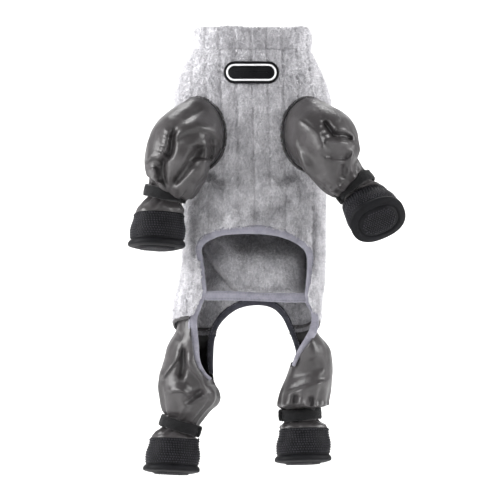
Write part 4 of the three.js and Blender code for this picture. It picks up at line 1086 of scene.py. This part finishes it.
def leg_ring(name, angles, down):
    """A ring of the leg, and how deep it lies before the back sags."""
    x, half, front, back = read(LEG_ROWS[name], "x half front back", down, LEG_WIDTH)
    side = np.sign(x)
    width, shift, near, far = read(BODY, "width shift front back", 1)
    ray = np.column_stack([np.cos(angles), np.sin(angles)])
    reach = np.arange(0, CHEST_WIDTH, REACH_STEP)[:, None, None]
    flat = np.array([x, 0]) + reach * ray
    across = np.abs((flat[..., 0] - shift * CHEST_WIDTH) / (width * HALF_CHEST - HEM_ROOM))
    deep = np.abs(flat[..., 1]) / (np.where(flat[..., 1] < 0, near, far) * CHEST_DEPTH - HEM_ROOM)
    within = (across ** SECTION_POWER + deep ** SECTION_POWER < 1) & (side * flat[..., 0] > side * x - half)
    last = np.maximum(np.cumprod(within, 0).sum(0) - 1, 0)
    held = np.array([x, 0]) + reach[last, 0] * ray
    own = np.column_stack([x + half * ray[:, 0], np.where(ray[:, 1] < 0, front, back) * ray[:, 1]])
    free = smooth(0.04, 0.3, down)
    flat = held + (own - held) * free
    depth = flat[:, 1].copy()
    flat[:, 1] += back_fold(held[:, 0], held[:, 1], 1) * (1 - free)
    z = HEM - down * LEG_LENGTH + hem_shift(flat[:, 1]) * (1 - smooth(0.03, 0.4, down))
    return np.column_stack([flat, z]), depth


def leg(name):
    """A hind leg's cloth, from inside the hem to the strap, with the openings cut."""
    angles = circle(LEG_COLUMNS)
    at = list(np.linspace(-0.065, LEG_END[name], 16))
    keys, depths = (list(made) for made in zip(*(leg_ring(name, angles, level) for level in at)))
    for distance, step in ((-STRAP_WIDTH / 2, 0.07), (-GAP / 2, 0.05)):
        keys.append(matched(ankle_ring(name, distance, angles), keys[-1]))
        depths.append(keys[-1][:, 1])
        at.append(at[-1] + step)
    down = np.linspace(at[0], at[-1], LEG_GRID_ROWS)
    depth = np.array([np.interp(down, at, column) for column in np.array(depths).T]).T.ravel()
    strength = LEG_PLEAT_DEPTH * hump(down, 0.55, 0.95, 0.96, 1)
    rings = pleats(loft(keys, at, down), strength, LEG_PLEATS, len(name))
    points, faces = lumpy(rings, down, (0.05, 0.25, 0.9, 1), (1.3, 21, 8), (0.5, 9, 9))
    strokes = shares(LEG_STROKES[name], LEG_WIDTH, -LEG_LENGTH, 0, HEM, LEG_WIDTH)
    points = press(points, strokes, np.repeat(rings.mean(1)[:, 1], LEG_COLUMNS))
    faces, points = compact(cut_openings(points, faces, depth), points)
    return points, faces


for name in LEG_ROWS:
    waterproof("leg_" + name, *leg(name))

# %% [markdown]
# The openings are bound with a folded strip of cloth, stitched along its outer edge. The strip's depth
# is read from the frame's own binding, so it stays on the fleece where the body bends. The belly
# binding and the band are lavender grey; the tail binding lies in the shadow inside the suit and is
# painted a darker blue grey, as painted shade.

# %% Binding cloth and thread
def woven(name, dark, light, thread=0.9, rough=0.8):
    """Dull woven tape or thread, a little worn."""
    made = Finish(name, Sheen_Weight=0.2, Specular_IOR_Level=0.3)
    wear = made.grain(7, 3)
    threads = made.grain(thread, 1)
    colour = made.mix(made.ramp(wear * 0.6 + threads * 0.4, (0.35, 0), (0.65, 1)), dark, light)
    return made.done(colour, rough + wear * 0.1, threads + wear * 0.5, 0.3)


binding_cloth = woven("lavender_binding", (0.20, 0.195, 0.235), (0.30, 0.295, 0.345))
# The tail binding's darker colour is painted shade, for a binding that lies in shadow inside the suit.
dark_binding = woven("dark_binding", (0.045, 0.045, 0.06), (0.085, 0.085, 0.105))
piping_cloth = woven("piping_cloth", (0.035, 0.033, 0.035), (0.06, 0.058, 0.06), 0.7)
strap_cloth = woven("strap_cloth", (0.003, 0.003, 0.004), (0.008, 0.008, 0.009), 0.6, 0.8)
thread_finish = woven("thread", (0.13, 0.13, 0.155), (0.2, 0.2, 0.23), 0.4)
print("binding finishes:", binding_cloth.name, dark_binding.name)

# %% Strips, cords and stitches
BINDING_THICKNESS, BAND_THICKNESS = 4, 2.6
BAND_BOW = 4
STITCH_PITCH, STITCH_RADIUS, SEAM_SHARE = 3.2, 0.45, 0.62
TO_VIEWER = (0.0, -1, 0)


def frame_points(node):
    """The points of a piece of the frame, in millimetres."""
    held = bpy.data.objects[node]
    return np.array([held.matrix_world @ corner.co for corner in held.data.vertices]) / MM


def depth_from(node, line):
    """How deep the frame's piece lies along a line of the front view."""
    known = frame_points(node)
    off = np.linalg.norm(known[None][..., [0, 2]] - line[:, None], axis=-1)
    share = np.exp(-((off / 5) ** 2)) + 1e-12
    return (share * known[:, 1]).sum(1) / share.sum(1)


def strip(middle, out, half, thickness, sides=20, power=2.6):
    """A flat sewn strip along a line: out points across it, half is its half width."""
    run = unit(np.gradient(middle, axis=0))
    up = unit(np.cross(run, out))
    out = unit(np.cross(up, run))
    turn = circle(sides)
    u, v = squared(np.cos(turn), power), squared(np.sin(turn), power)
    rings = middle[:, None] + out[:, None] * (half[:, None] * u)[..., None]
    rings = rings + up[:, None] * (v * thickness / 2)[None, :, None]
    first, last = (rings[i].mean(0) + 0.05 * (rings[i] - rings[i].mean(0)) for i in (0, -1))
    return tube(np.concatenate([first[None], rings, last[None]]))


def cord(middle, radius, sides=12, closed=False):
    """A round cord along a line."""
    step = np.roll(middle, -1, 0) - np.roll(middle, 1, 0) if closed else np.gradient(middle, axis=0)
    run = unit(step)
    out = unit(np.cross(run, middle - middle.mean(0)))
    rings = middle[:, None] + radius * around(out, np.cross(run, out), sides)
    return tube(rings, hoop_faces if closed else grid_faces)


def stitches(name, line, node):
    """A row of short thread stitches that lies on a line and faces the viewer."""
    run = run_along(line)
    at = np.arange(STITCH_PITCH, run[-1] - STITCH_PITCH, STITCH_PITCH)
    centre = np.column_stack([np.interp(at, run, column) for column in line.T])
    way = unit(np.gradient(centre, axis=0))
    lift = np.tile(TO_VIEWER, (len(at), 1))
    ring = around(np.cross(way, lift), lift, 6)
    rings = []
    for place, thick in ((-0.36, 0.15), (-0.2304, 0.8), (0.2304, 0.8), (0.36, 0.15)):
        rings.append((centre + way * place * STITCH_PITCH)[:, None] + STITCH_RADIUS * thick * ring)
    points = np.stack(rings, 1).reshape(-1, 3)
    faces = (np.arange(len(at))[:, None, None] * 24 + grid_faces(4, 6)[None]).reshape(-1, 4)
    piece(name, points, facing_out(points, faces), [thread_finish], node, extra=True)


print("binding", BINDING_THICKNESS, "mm thick, band", BAND_THICKNESS, "mm")

# %% Bindings and band
def bind(node, rows, steps, finish):
    """The binding of an opening, with its stitches. Gives back its middle line."""
    line, half, out = edge_line(rows, steps)
    y = depth_from(node, line)
    middle = np.column_stack([line[:, 0], y, line[:, 1]])
    middle += 0.25 * noise(middle, 12, 3)[:, None]
    outward = np.column_stack([out[:, 0], 0 * y, out[:, 1]])
    piece(node + "_cloth", *strip(middle, outward, half, BINDING_THICKNESS), [finish], node)
    seam = middle + outward * (half * SEAM_SHARE)[:, None] + np.multiply(TO_VIEWER, BINDING_THICKNESS * 0.47)
    stitches(node + "_stitches", seam, node)
    return middle


def band():
    """The band across the belly opening, with a row of stitches along each edge."""
    known = frame_points("belly_band")
    far = [known[:, 0] * side for side in (-1, 1)]
    left, right = (known[x > 0.9 * x.max()].mean(0) for x in far)
    t = np.linspace(-0.01, 1.01, 60)
    middle = left + (right - left) * t[:, None]
    middle[:, 1] -= BAND_BOW * np.sin(np.pi * np.clip(t, 0, 1))
    middle[:, 2] += 0.5 * np.sin(2 * np.pi * t)
    half = BINDING_WIDTH / 2 + 0.25 * np.sin(9 * t)
    up = np.tile((0.0, 0, 1), (len(t), 1))
    piece("belly_band_cloth", *strip(middle, up, half, BAND_THICKNESS), [binding_cloth], "belly_band")
    for edge, sign in (("upper", 1), ("lower", -1)):
        seam = middle + (0, -BAND_THICKNESS * 0.48, 0) + up * (sign * SEAM_SHARE * half)[:, None]
        stitches(f"band_{edge}_stitches", seam, "belly_band")


belly_line = bind("belly_binding", BELLY_EDGE, 240, binding_cloth)
tail_line = bind("tail_binding", TAIL_EDGE, 140, dark_binding)
band()

# %% [markdown]
# Dark piping runs round the armholes and along the seams between the fleece and the hind legs, where
# it ends at the openings. Where a hind leg is sewn to the back panel, a ribbed tape covers the seam
# on the inside. It shows through the gap at each crotch, over the inside of the leg, which is painted
# near-black as shade.

# %% Pipings and seam tape
TAPE_WIDTH, TAPE_THICKNESS = 4.4, 1.2
HIP_SEAMS = {"hind_left": (-1, 0.73, 2.24), "hind_right": (1, 0.73, 2.3)}
TAPE_START = 1.35
PIPING_LIFT, TAPE_LIFT = -2, 0.5
tape_cloth = woven("seam_tape", (0.07, 0.07, 0.075), (0.24, 0.235, 0.25), 1.7)


def hem_line(side, start, end, steps, inward, lift):
    """A line round one side of the hem, drawn in from the skin, where no opening is."""
    line = skin(side * np.linspace(start, end, steps) * HALF_CHEST, 1.0)
    line = line - inward * unit(line * FLATTER)
    front = inside(belly_outline, line[:, 0], line[:, 2]) & (line[:, 1] < SIDE_OVERLAP)
    back = inside(tail_outline, line[:, 0], line[:, 2]) & (line[:, 1] > -SIDE_OVERLAP)
    line[:, 1] += back_fold(line[:, 0], line[:, 1], 1.0)
    line[:, 2] += hem_shift(line[:, 1]) + lift
    return line[~(front | back)]


def piping(name, mesh):
    piece(f"piping_{name}_cloth", *mesh, [piping_cloth], "piping_" + name)


for name in ARMHOLES:
    piping(name, cord(armhole(name, 0, turns), PIPING_RADIUS, closed=True))
for name, (side, start, end) in HIP_SEAMS.items():
    piping(name, cord(hem_line(side, start, end, 90, PIPING_RADIUS, PIPING_LIFT), PIPING_RADIUS))
for name, (side, _, end) in HIP_SEAMS.items():
    inward = HEM_ROOM + CLOTH_WALL + TAPE_THICKNESS
    line = hem_line(side, TAPE_START, end, 80, inward, TAPE_LIFT)
    half = TAPE_WIDTH / 2 + 0.3 * np.sin(1.9 * np.arange(len(line)))
    mesh = strip(line, np.tile((0.0, 0, 1), (len(line), 1)), half, TAPE_THICKNESS)
    piece("seam_tape_" + name, *mesh, [tape_cloth], "leg_" + name, extra=True)

# %% [markdown]
# A boot is a rubber cup with raised dots, on a cupped sole with an oval pad. Its outline is a rounded
# rectangle that shrinks a little upwards. The shaft of grey cloth runs from under the strap into the
# cup; it is gathered by the strap, so its pleats are deepest there and die away towards the rubber.

# %% Rubber
def rubber(name, dark, light, gloss):
    """Moulded rubber with pores and scuffs."""
    made = Finish(name, Specular_IOR_Level=0.14)
    scuffs = made.grain(9, 3)
    pores = made.grain(0.7, 1)
    colour = made.mix(made.ramp(scuffs, (0.3, 0), (0.7, 1)), dark, light)
    return made.done(colour, scuffs * 0.25 + gloss, pores + scuffs, 0.12)


rubber_black = rubber("rubber", (0.004, 0.004, 0.005), (0.009, 0.009, 0.011), 0.45)
# The studs are painted lighter than the rest of the rubber, as painted highlight; their lower roughness is
# real gloss.
rubber_dots = rubber("rubber_dots", (0.014, 0.014, 0.017), (0.030, 0.029, 0.035), 0.22)
print("rubber finishes:", rubber_black.name, rubber_dots.name)

# %% Boots
BOOT_WALL = 2.4
BOOT_POWER = 2.4
DOT_PITCH, DOT_RADIUS, DOT_HEIGHT = 2.9, 1.1, 0.8
DOT_ROW_PITCH = 0.87 * DOT_PITCH
PAD_MARGIN = 11
BOOT_TURN = circle(96)
UPPER_PROFILE = table("at  grow", (0, -0.6), (0.4, 0.12), (0.82, -0.4), (1, 0))
SOLE_PROFILE = table(
    "at  grow", (0, -0.62), (0.04, -0.5), (0.2, 0.02), (0.45, 0.14), (0.75, 0.08), (1, -0.12),
)
PAD_PROFILE = ((-6.2, 0), (-7, 1.1), (-7.8, 1.2), (-8.6, 0), (-10, -0.9), (-16, -1.4))
SHAFT_ROWS, SHAFT_COLUMNS = 40, 120
SHAFT_PLEATS, SHAFT_PLEAT_DEPTH, SHAFT_PUFF = 9, 2.6, 2.4


def boot_place(name):
    """The middle of a boot's sole, with the directions of its length, its width and its underside."""
    leg = LEGS[name]
    centre = ankle(name)[0] + np.array(leg["foot"]) * FOOT_LENGTH
    return placed(centre, leg["faces"], leg["toe"])


def boot_ring(name, height, grow, angles=BOOT_TURN):
    """The boot's outline at a height over its sole's underside."""
    share = height / (BOOT_HEIGHT + SOLE_THICKNESS)
    taper = 1 - 0.1 * share * share
    centre, *ways = moved(boot_place(name), -height)
    place = (centre - 0.04 * BOOT_LENGTH * share * ways[0], *ways)
    return oval(place, BOOT_LENGTH / 2 * taper + grow, BOOT_WIDTH / 2 * taper + grow, angles, BOOT_POWER)


def upper_skin(name, up, angles=BOOT_TURN):
    """The outside of the upper, by the share of its height."""
    foot = SOLE_THICKNESS + GAP
    height = foot + up * (SOLE_THICKNESS + BOOT_HEIGHT - foot)
    return boot_ring(name, height, along(UPPER_PROFILE, "grow", up) * BOOT_WALL, angles)


def dots(centres, normals):
    """Low round studs: a ring at the foot, a smaller one on top, and a cap."""
    first = unit(np.cross(normals, (0.3, 0.5, 0.81)))
    ring = around(first, np.cross(normals, first), 6)
    low = centres[:, None] - 0.1 * normals[:, None] + DOT_RADIUS * ring
    high = centres[:, None] + DOT_HEIGHT * normals[:, None] + 0.55 * DOT_RADIUS * ring
    points = np.concatenate([low, high], 1).reshape(-1, 3)
    one = np.vstack([grid_faces(2, 6)[:, ::-1], [(6, 7, 8, 9), (9, 10, 11, 6)]])
    return points, (np.arange(len(centres))[:, None, None] * 12 + one[None]).reshape(-1, 4)


def upper_dots(name):
    """Studs in staggered rows all over the upper."""
    centres, normals = [], []
    rows = int(BOOT_HEIGHT / DOT_ROW_PITCH) - 1
    for row in range(rows):
        up = (row + 1) / (rows + 0.6)
        ring = upper_skin(name, up)
        run = run_along(np.vstack([ring, ring[:1]]))
        count = int(run[-1] / DOT_PITCH)
        at = (np.arange(count) + 0.5 * (row % 2)) * run[-1] / count
        angles = np.interp(at, run, np.append(BOOT_TURN, 2 * np.pi))
        low, here, high = (upper_skin(name, up + step, angles) for step in (-0.02, 0, 0.02))
        beside = upper_skin(name, up, angles + 0.03)
        normals.append(unit(np.cross(beside - here, high - low)))
        centres.append(here)
    centres, normals = np.vstack(centres), np.vstack(normals)
    outward = np.sign(((centres - centres.mean(0)) * normals).sum(1))[:, None]
    return dots(centres, normals * outward)


def cup(name):
    """The upper: up its outside, over its rim and down its inside."""
    top = SOLE_THICKNESS + BOOT_HEIGHT
    heights = np.linspace(top - 0.4, SOLE_THICKNESS + GAP + BOOT_WALL, 8)
    outside = [upper_skin(name, share) for share in np.linspace(0, 1, 14)]
    rim = [boot_ring(name, top + 0.25, -0.5 * BOOT_WALL)]
    return tube(outside + rim + [boot_ring(name, height, -BOOT_WALL) for height in heights])


def sole(name):
    """The sole: up over its side and, below, a groove and a pad, closed in the middle."""
    side = [
        boot_ring(name, SOLE_THICKNESS * share, along(SOLE_PROFILE, "grow", share) * SOLE_THICKNESS)
        for share in np.linspace(0, 1, 16)
    ]
    below = [boot_ring(name, height, grow) for grow, height in PAD_PROFILE]

    def closed(height, shares_left):
        ring = boot_ring(name, height, 0)
        return [ring.mean(0) + (ring - ring.mean(0)) * share for share in shares_left]

    below += closed(-1.5, (0.2, 0.01))
    return tube(below[::-1] + side + closed(SOLE_THICKNESS, (0.6, 0.01)))


def pad_dots(name):
    """Studs in staggered rows on the pad of the sole."""
    centre, wide, deep, down = boot_place(name)
    reach = BOOT_LENGTH / 2
    rows = np.arange(-reach, reach, DOT_ROW_PITCH)
    columns = np.arange(-reach, reach, DOT_PITCH)
    u = (columns[None] + DOT_PITCH / 2 * (np.arange(len(rows)) % 2)[:, None]).ravel()
    v = np.repeat(rows, len(columns))
    across, deep_share = np.abs(u / (reach - PAD_MARGIN)), np.abs(v / (BOOT_WIDTH / 2 - PAD_MARGIN))
    kept = across ** BOOT_POWER + deep_share ** BOOT_POWER < 1
    u, v = u[kept], v[kept]
    lift = 1.3 - 0.3 * smooth(0.5, 1, np.hypot(u / reach, v / reach))
    centres = centre + u[:, None] * wide + v[:, None] * deep + lift[:, None] * down
    return dots(centres, np.tile(down, (len(u), 1)))


def shaft(name):
    """The cloth between the strap and the boot's rim."""
    angles = circle(SHAFT_COLUMNS)
    tops = [ankle_ring(name, distance, angles) for distance in (GAP / 2, STRAP_WIDTH / 2 + 3 * GAP)]
    rim = matched(boot_ring(name, BOOT_HEIGHT + SOLE_THICKNESS + GAP, -0.8, angles), tops[1])
    puffed = tops[1] + (rim - tops[1]) * 0.55
    puffed = puffed + unit(puffed - puffed.mean(0)) * SHAFT_PUFF
    down = np.linspace(0, 1, SHAFT_ROWS)
    rings = loft([*tops, puffed, rim], [0, 0.28, 0.68, 1], down)
    strength = SHAFT_PLEAT_DEPTH * hump(down, 0.12, 0.3, 0.45, 1)
    rings = pleats(rings, strength, SHAFT_PLEATS, 3 + len(name))
    return lumpy(rings, down, (0.2, 0.4, 0.85, 1), (0.9, 7, 4))


def joined(*meshes):
    """Several meshes as one, and which of them each face comes from."""
    offsets = np.cumsum([0] + [len(points) for points, _ in meshes])
    points = np.vstack([points for points, _ in meshes])
    faces = np.vstack([faces + offset for (_, faces), offset in zip(meshes, offsets)])
    owner = np.concatenate([np.full(len(faces), k) for k, (_, faces) in enumerate(meshes)])
    return points, faces, owner


BOOT_PARTS = (("boot", "upper", cup, upper_dots), ("sole", "rubber", sole, pad_dots))
for name in LEGS:
    waterproof("shaft_" + name, *shaft(name))
    for kind, part, *makers in BOOT_PARTS:
        points, faces, owner = joined(*(make(name) for make in makers))
        node = f"{kind}_{name}"
        piece(f"{node}_{part}", points, faces, [rubber_black, rubber_dots], node, second=owner)

# %% [markdown]
# A strap is a ring of black hook-and-loop tape, pulled tight round the ankle. Its loops make it fuzzy,
# so it gets a very short pile of its own. The free end of the tape stands off as a tab.

# %% Straps
TAB_SIDE = {"front_left": 1, "front_right": -1, "hind_left": 1, "hind_right": -1}
TAB_GAP, TAB_OFFSET, TAB_BOW, TAB_STEPS = 1.8, 3.5, 0.7, 14
STRAP_TURN = circle(132)
STRAP_PROFILE = (
    (0.3, -0.88), (0.75, -1), (1.0, -0.93), (1.08, -0.5), (1.1, 0), (1.08, 0.5), (1.0, 0.93), (0.75, 1),
    (0.3, 0.88), (0.12, 0.4), (0.12, -0.4),
)
strap_pile = woven("strap_loops", (0.004, 0.004, 0.005), (0.014, 0.014, 0.016), 0.6, 0.85)


def strap(name):
    """The ring of tape: each row of the profile is a share of its thickness and of its half width."""
    place = ankle(name)
    sag = 0.8 * np.sin(2 * STRAP_TURN + len(name)) + 0.5 * np.sin(5 * STRAP_TURN)
    rings = []
    for out, run in STRAP_PROFILE:
        halves = (half / 2 + out * STRAP_THICKNESS for half in (ANKLE_WIDTH, ANKLE_DEPTH))
        ring = oval(moved(place, run * STRAP_WIDTH / 2), *halves, STRAP_TURN)
        rings.append(ring + sag[:, None] * 0.5 * place[3])
    points = np.array(rings).reshape(-1, 3)
    points = points + 0.2 * noise(points, 4, 2)[:, None] * unit(points - place[0])
    return points, facing_out(points, hoop_faces(len(rings), len(STRAP_TURN)))


def tab(name):
    """A rounded slab of tape beside the strap."""
    centre, wide, deep, run = ankle(name)
    side = TAB_SIDE[name] * wide
    middle = centre + side * (ANKLE_WIDTH / 2 + TAB_GAP) + deep * (1 if deep[1] < 0 else -1) * TAB_OFFSET
    bow = np.linspace(-1, 1, TAB_STEPS)[:, None]
    path = middle + deep * bow * TAB_LENGTH / 2 + side * TAB_BOW * bow ** 2
    half = np.full(TAB_STEPS, STRAP_WIDTH / 2 - 0.5)
    return strip(path, np.tile(run, (TAB_STEPS, 1)), half, STRAP_THICKNESS, 24, 4)


for name in LEGS:
    node = "strap_" + name
    points, faces, _ = joined(strap(name), tab(name))
    piece(node + "_tape", points, faces, [strap_cloth], node)
    pile(node + "_loops", points, faces, 7000, node, 11, 1.3, 0.45, (0, 0, 0), strap_pile)

# %% [markdown]
# The label is a plain moulded plate of black rubber, sewn on through a groove near its edge, with a
# raised white line round it. It carries no words or sign. Both parts follow the chest's curve.

# %% Label
LABEL_WIDTH, LABEL_HEIGHT, LABEL_THICKNESS = 61, 24.5, 2.6
LABEL_LINE, LABEL_LINE_HEIGHT, LABEL_MARGIN = 2, 0.8, 3
LABEL_DROP, LABEL_LIFT = 51, 1.2
LABEL_FACE = LABEL_LIFT + LABEL_THICKNESS
label_rubber = rubber("label_rubber", (0.002, 0.002, 0.003), (0.005, 0.005, 0.006), 0.34)
label_white = rubber("label_white", (0.72, 0.72, 0.74), (0.86, 0.86, 0.87), 0.45)


def label_ring(inset, lift):
    """A stadium outline, drawn in from the plate's edge, lying on the chest."""
    radius = LABEL_HEIGHT / 2 - inset
    straight = (LABEL_WIDTH - LABEL_HEIGHT) / 2
    turn = np.linspace(-np.pi / 2, np.pi / 2, 48)
    end = np.column_stack([straight + radius * np.cos(turn), radius * np.sin(turn)])
    edge = np.column_stack([np.linspace(straight, -straight, 26)[1:-1], np.full(24, radius)])
    flat = np.vstack([end, edge, -end, -edge])
    ring = skin(flat[:, 0], (LABEL_DROP - flat[:, 1] + BODY_TOP) / BODY_LENGTH)
    ring[:, 1] -= lift
    return ring


def label_part(node, finish, profile):
    """A part of the label from rows of how far each ring is drawn in, and how high it lies."""
    piece(node + "_rubber", *tube([label_ring(*row) for row in profile]), [finish], node)


label_part("label_plate", label_rubber, [
    (12, LABEL_LIFT), (6, LABEL_LIFT), (0.3, LABEL_LIFT), (0, LABEL_LIFT + 0.4),
    (0, LABEL_FACE - 0.7), (0.5, LABEL_FACE), (2.4, LABEL_FACE), (2.8, LABEL_FACE - 0.5),
    (5.2, LABEL_FACE - 0.5), (5.6, LABEL_FACE - 0.1), (8, LABEL_FACE - 0.1), (12.2, LABEL_FACE - 0.1),
])
outer_edge, inner_edge = LABEL_MARGIN, LABEL_MARGIN + LABEL_LINE
foot, top = LABEL_FACE - 0.6, LABEL_FACE + LABEL_LINE_HEIGHT
label_part("label_line", label_white, [
    (outer_edge, foot), (outer_edge, top - 0.3), (outer_edge + 0.3, top),
    (inner_edge - 0.3, top), (inner_edge, top - 0.3), (inner_edge, foot), (outer_edge, foot),
])

# %% [markdown]
# The suit is cloth all over, so each sheet says what it was cut to before it was sewn and hung: its
# width round the limb, its length down it, and the share of that rectangle that is cloth once the
# openings and tapers are cut.

# %% Cut sizes of the cloth
BINDING_CUT, SHAFT_GIRTH, SHAFT_CUT, STRAP_GIRTH = 14, 172, 23, 128
SLEEVE_AND_LEG_CUTS = {
    "sleeve_front_left": (232, 118, 0.82, []),
    "sleeve_front_right": (228, 112, 0.82, []),
    "leg_hind_left": (214, 126, 0.86, ["seam_tape_hind_left"]),
    "leg_hind_right": (196, 122, 0.82, ["seam_tape_hind_right"]),
}


def cloth(name, width, length, on, share=1.0, going=()):
    """Says what a sheet was cut to, in millimetres."""
    print(f"{name}: cut to {width:.0f} x {length:.0f} mm, {share:.0%} of it cloth")


def girth(down):
    """How far it is round the torso at a share of its length."""
    return float(half_girth(-1, down) + half_girth(1, down))


body_piles = ["pile_front", "pile_back", "pile_inside"]
cloth("body", girth(0.2), BODY_LENGTH + HEM_DROP, "collar", 0.72, body_piles)
cloth("collar_fleece", girth(0), 2 * COLLAR_HEIGHT + COLLAR_WALL, "body", 1, ["pile_collar"])
for name, (width, length, share, tapes) in SLEEVE_AND_LEG_CUTS.items():
    cloth(name + "_cloth", width, length, "body", share, tapes)
for name in LEGS:
    shaft_piece, strap_piece, loops = f"shaft_{name}_cloth", f"strap_{name}_tape", f"strap_{name}_loops"
    cloth(shaft_piece, SHAFT_GIRTH, SHAFT_CUT, "boot_" + name, 0.85)
    cloth(strap_piece, STRAP_WIDTH, STRAP_GIRTH + TAB_LENGTH, "shaft_" + name, 1, [loops])
for node, line in (("belly_binding", belly_line), ("tail_binding", tail_line)):
    length = float(run_along(line)[-1])
    cloth(node + "_cloth", BINDING_CUT, length, "body", 0.8, [node + "_stitches"])
band_stitches = ["band_upper_stitches", "band_lower_stitches"]
cloth("belly_band_cloth", BINDING_CUT, 1.4 * HALF_CHEST, "belly_binding", 0.9, band_stitches)

# %% [markdown]
# The stage is a pale floor that curves up into a backdrop. Two broad soft lights stand at the sides, a
# little in front of the suit, because the photograph shows bright edges on both sides of the fleece and
# a greyer middle. A weaker one fills the front from above, and a strong one makes the backdrop white.

# %% Floor and backdrop
FLOOR = -560
STAGE_WIDTH, STAGE_DEPTH, STAGE_HEIGHT, STAGE_CURVE = 15000, 6800, 7000, 1800


def stage_sheet():
    """A strip from the front of the floor, round the curve, to the top of the backdrop."""
    bend = np.linspace(-np.pi / 2, 0, 16)
    y = STAGE_DEPTH + STAGE_CURVE * (np.cos(bend) - 1)
    z = STAGE_CURVE * (1 + np.sin(bend))
    profile = [(-STAGE_DEPTH, 0), *zip(y, z), (STAGE_DEPTH, STAGE_HEIGHT)]
    sides = (-STAGE_WIDTH / 2, STAGE_WIDTH / 2)
    points = np.array([(x, y, FLOOR + z) for y, z in profile for x in sides], float)
    return points, grid_faces(len(profile), 2, closed=False)


def floor_finish():
    made = Finish("floor", Specular_IOR_Level=0.1)
    paper = made.grain(9)
    colour = made.mix(paper, (0.86, 0.86, 0.86), (0.9, 0.9, 0.9))
    return made.done(colour, 0.85 + paper * 0.1, paper, 0.05)


stage_points, stage_faces = stage_sheet()
mesh = bpy.data.meshes.new("floor")
mesh.from_pydata((stage_points * MM).tolist(), [], stage_faces.tolist())
mesh.materials.append(floor_finish())
floor = bpy.data.objects.new("floor", mesh)
bpy.context.scene.collection.objects.link(floor)
print("floor at", FLOOR, "mm")

# %% Lights
WORLD_STRENGTH = 0.13
SUIT_MIDDLE, BACKDROP_MIDDLE = (0, 0, -240), (0, 6000, -240)
LIGHTS = {
    "left": ((-1500, -400, 300), 1.2, 46, SUIT_MIDDLE),
    "right": ((1500, -300, 300), 1.2, 34, SUIT_MIDDLE),
    "front": ((-1000, -2300, 1000), 1.0, 17, SUIT_MIDDLE),
    "backdrop": ((0, 3200, 3600), 3.5, 420, BACKDROP_MIDDLE),
}
bpy.context.scene.view_settings.view_transform = "Standard"
for name, (place, size, power, aim) in LIGHTS.items():
    made = bpy.data.objects.new("light_" + name, bpy.data.lights.new(name, "AREA"))
    made.data.energy = power
    made.data.shape = "SQUARE"
    made.data.size = size
    made.location = np.array(place) * MM
    made.rotation_euler = Vector(np.subtract(aim, place)).to_track_quat("-Z", "Y").to_euler()
    bpy.context.scene.collection.objects.link(made)
world = bpy.data.worlds.new("studio")
world.use_nodes = True
world.node_tree.nodes["Background"].inputs["Color"].default_value = (1, 1, 1, 1)
world.node_tree.nodes["Background"].inputs["Strength"].default_value = WORLD_STRENGTH
bpy.context.scene.world = world
print("lights:", ", ".join(LIGHTS))

# %% [markdown]
# Last, the number of triangles that were made is printed, with the largest piece's.

# %% Sizes
print("triangles:", sum(totals.values()), "- largest piece:", max(totals.values()))
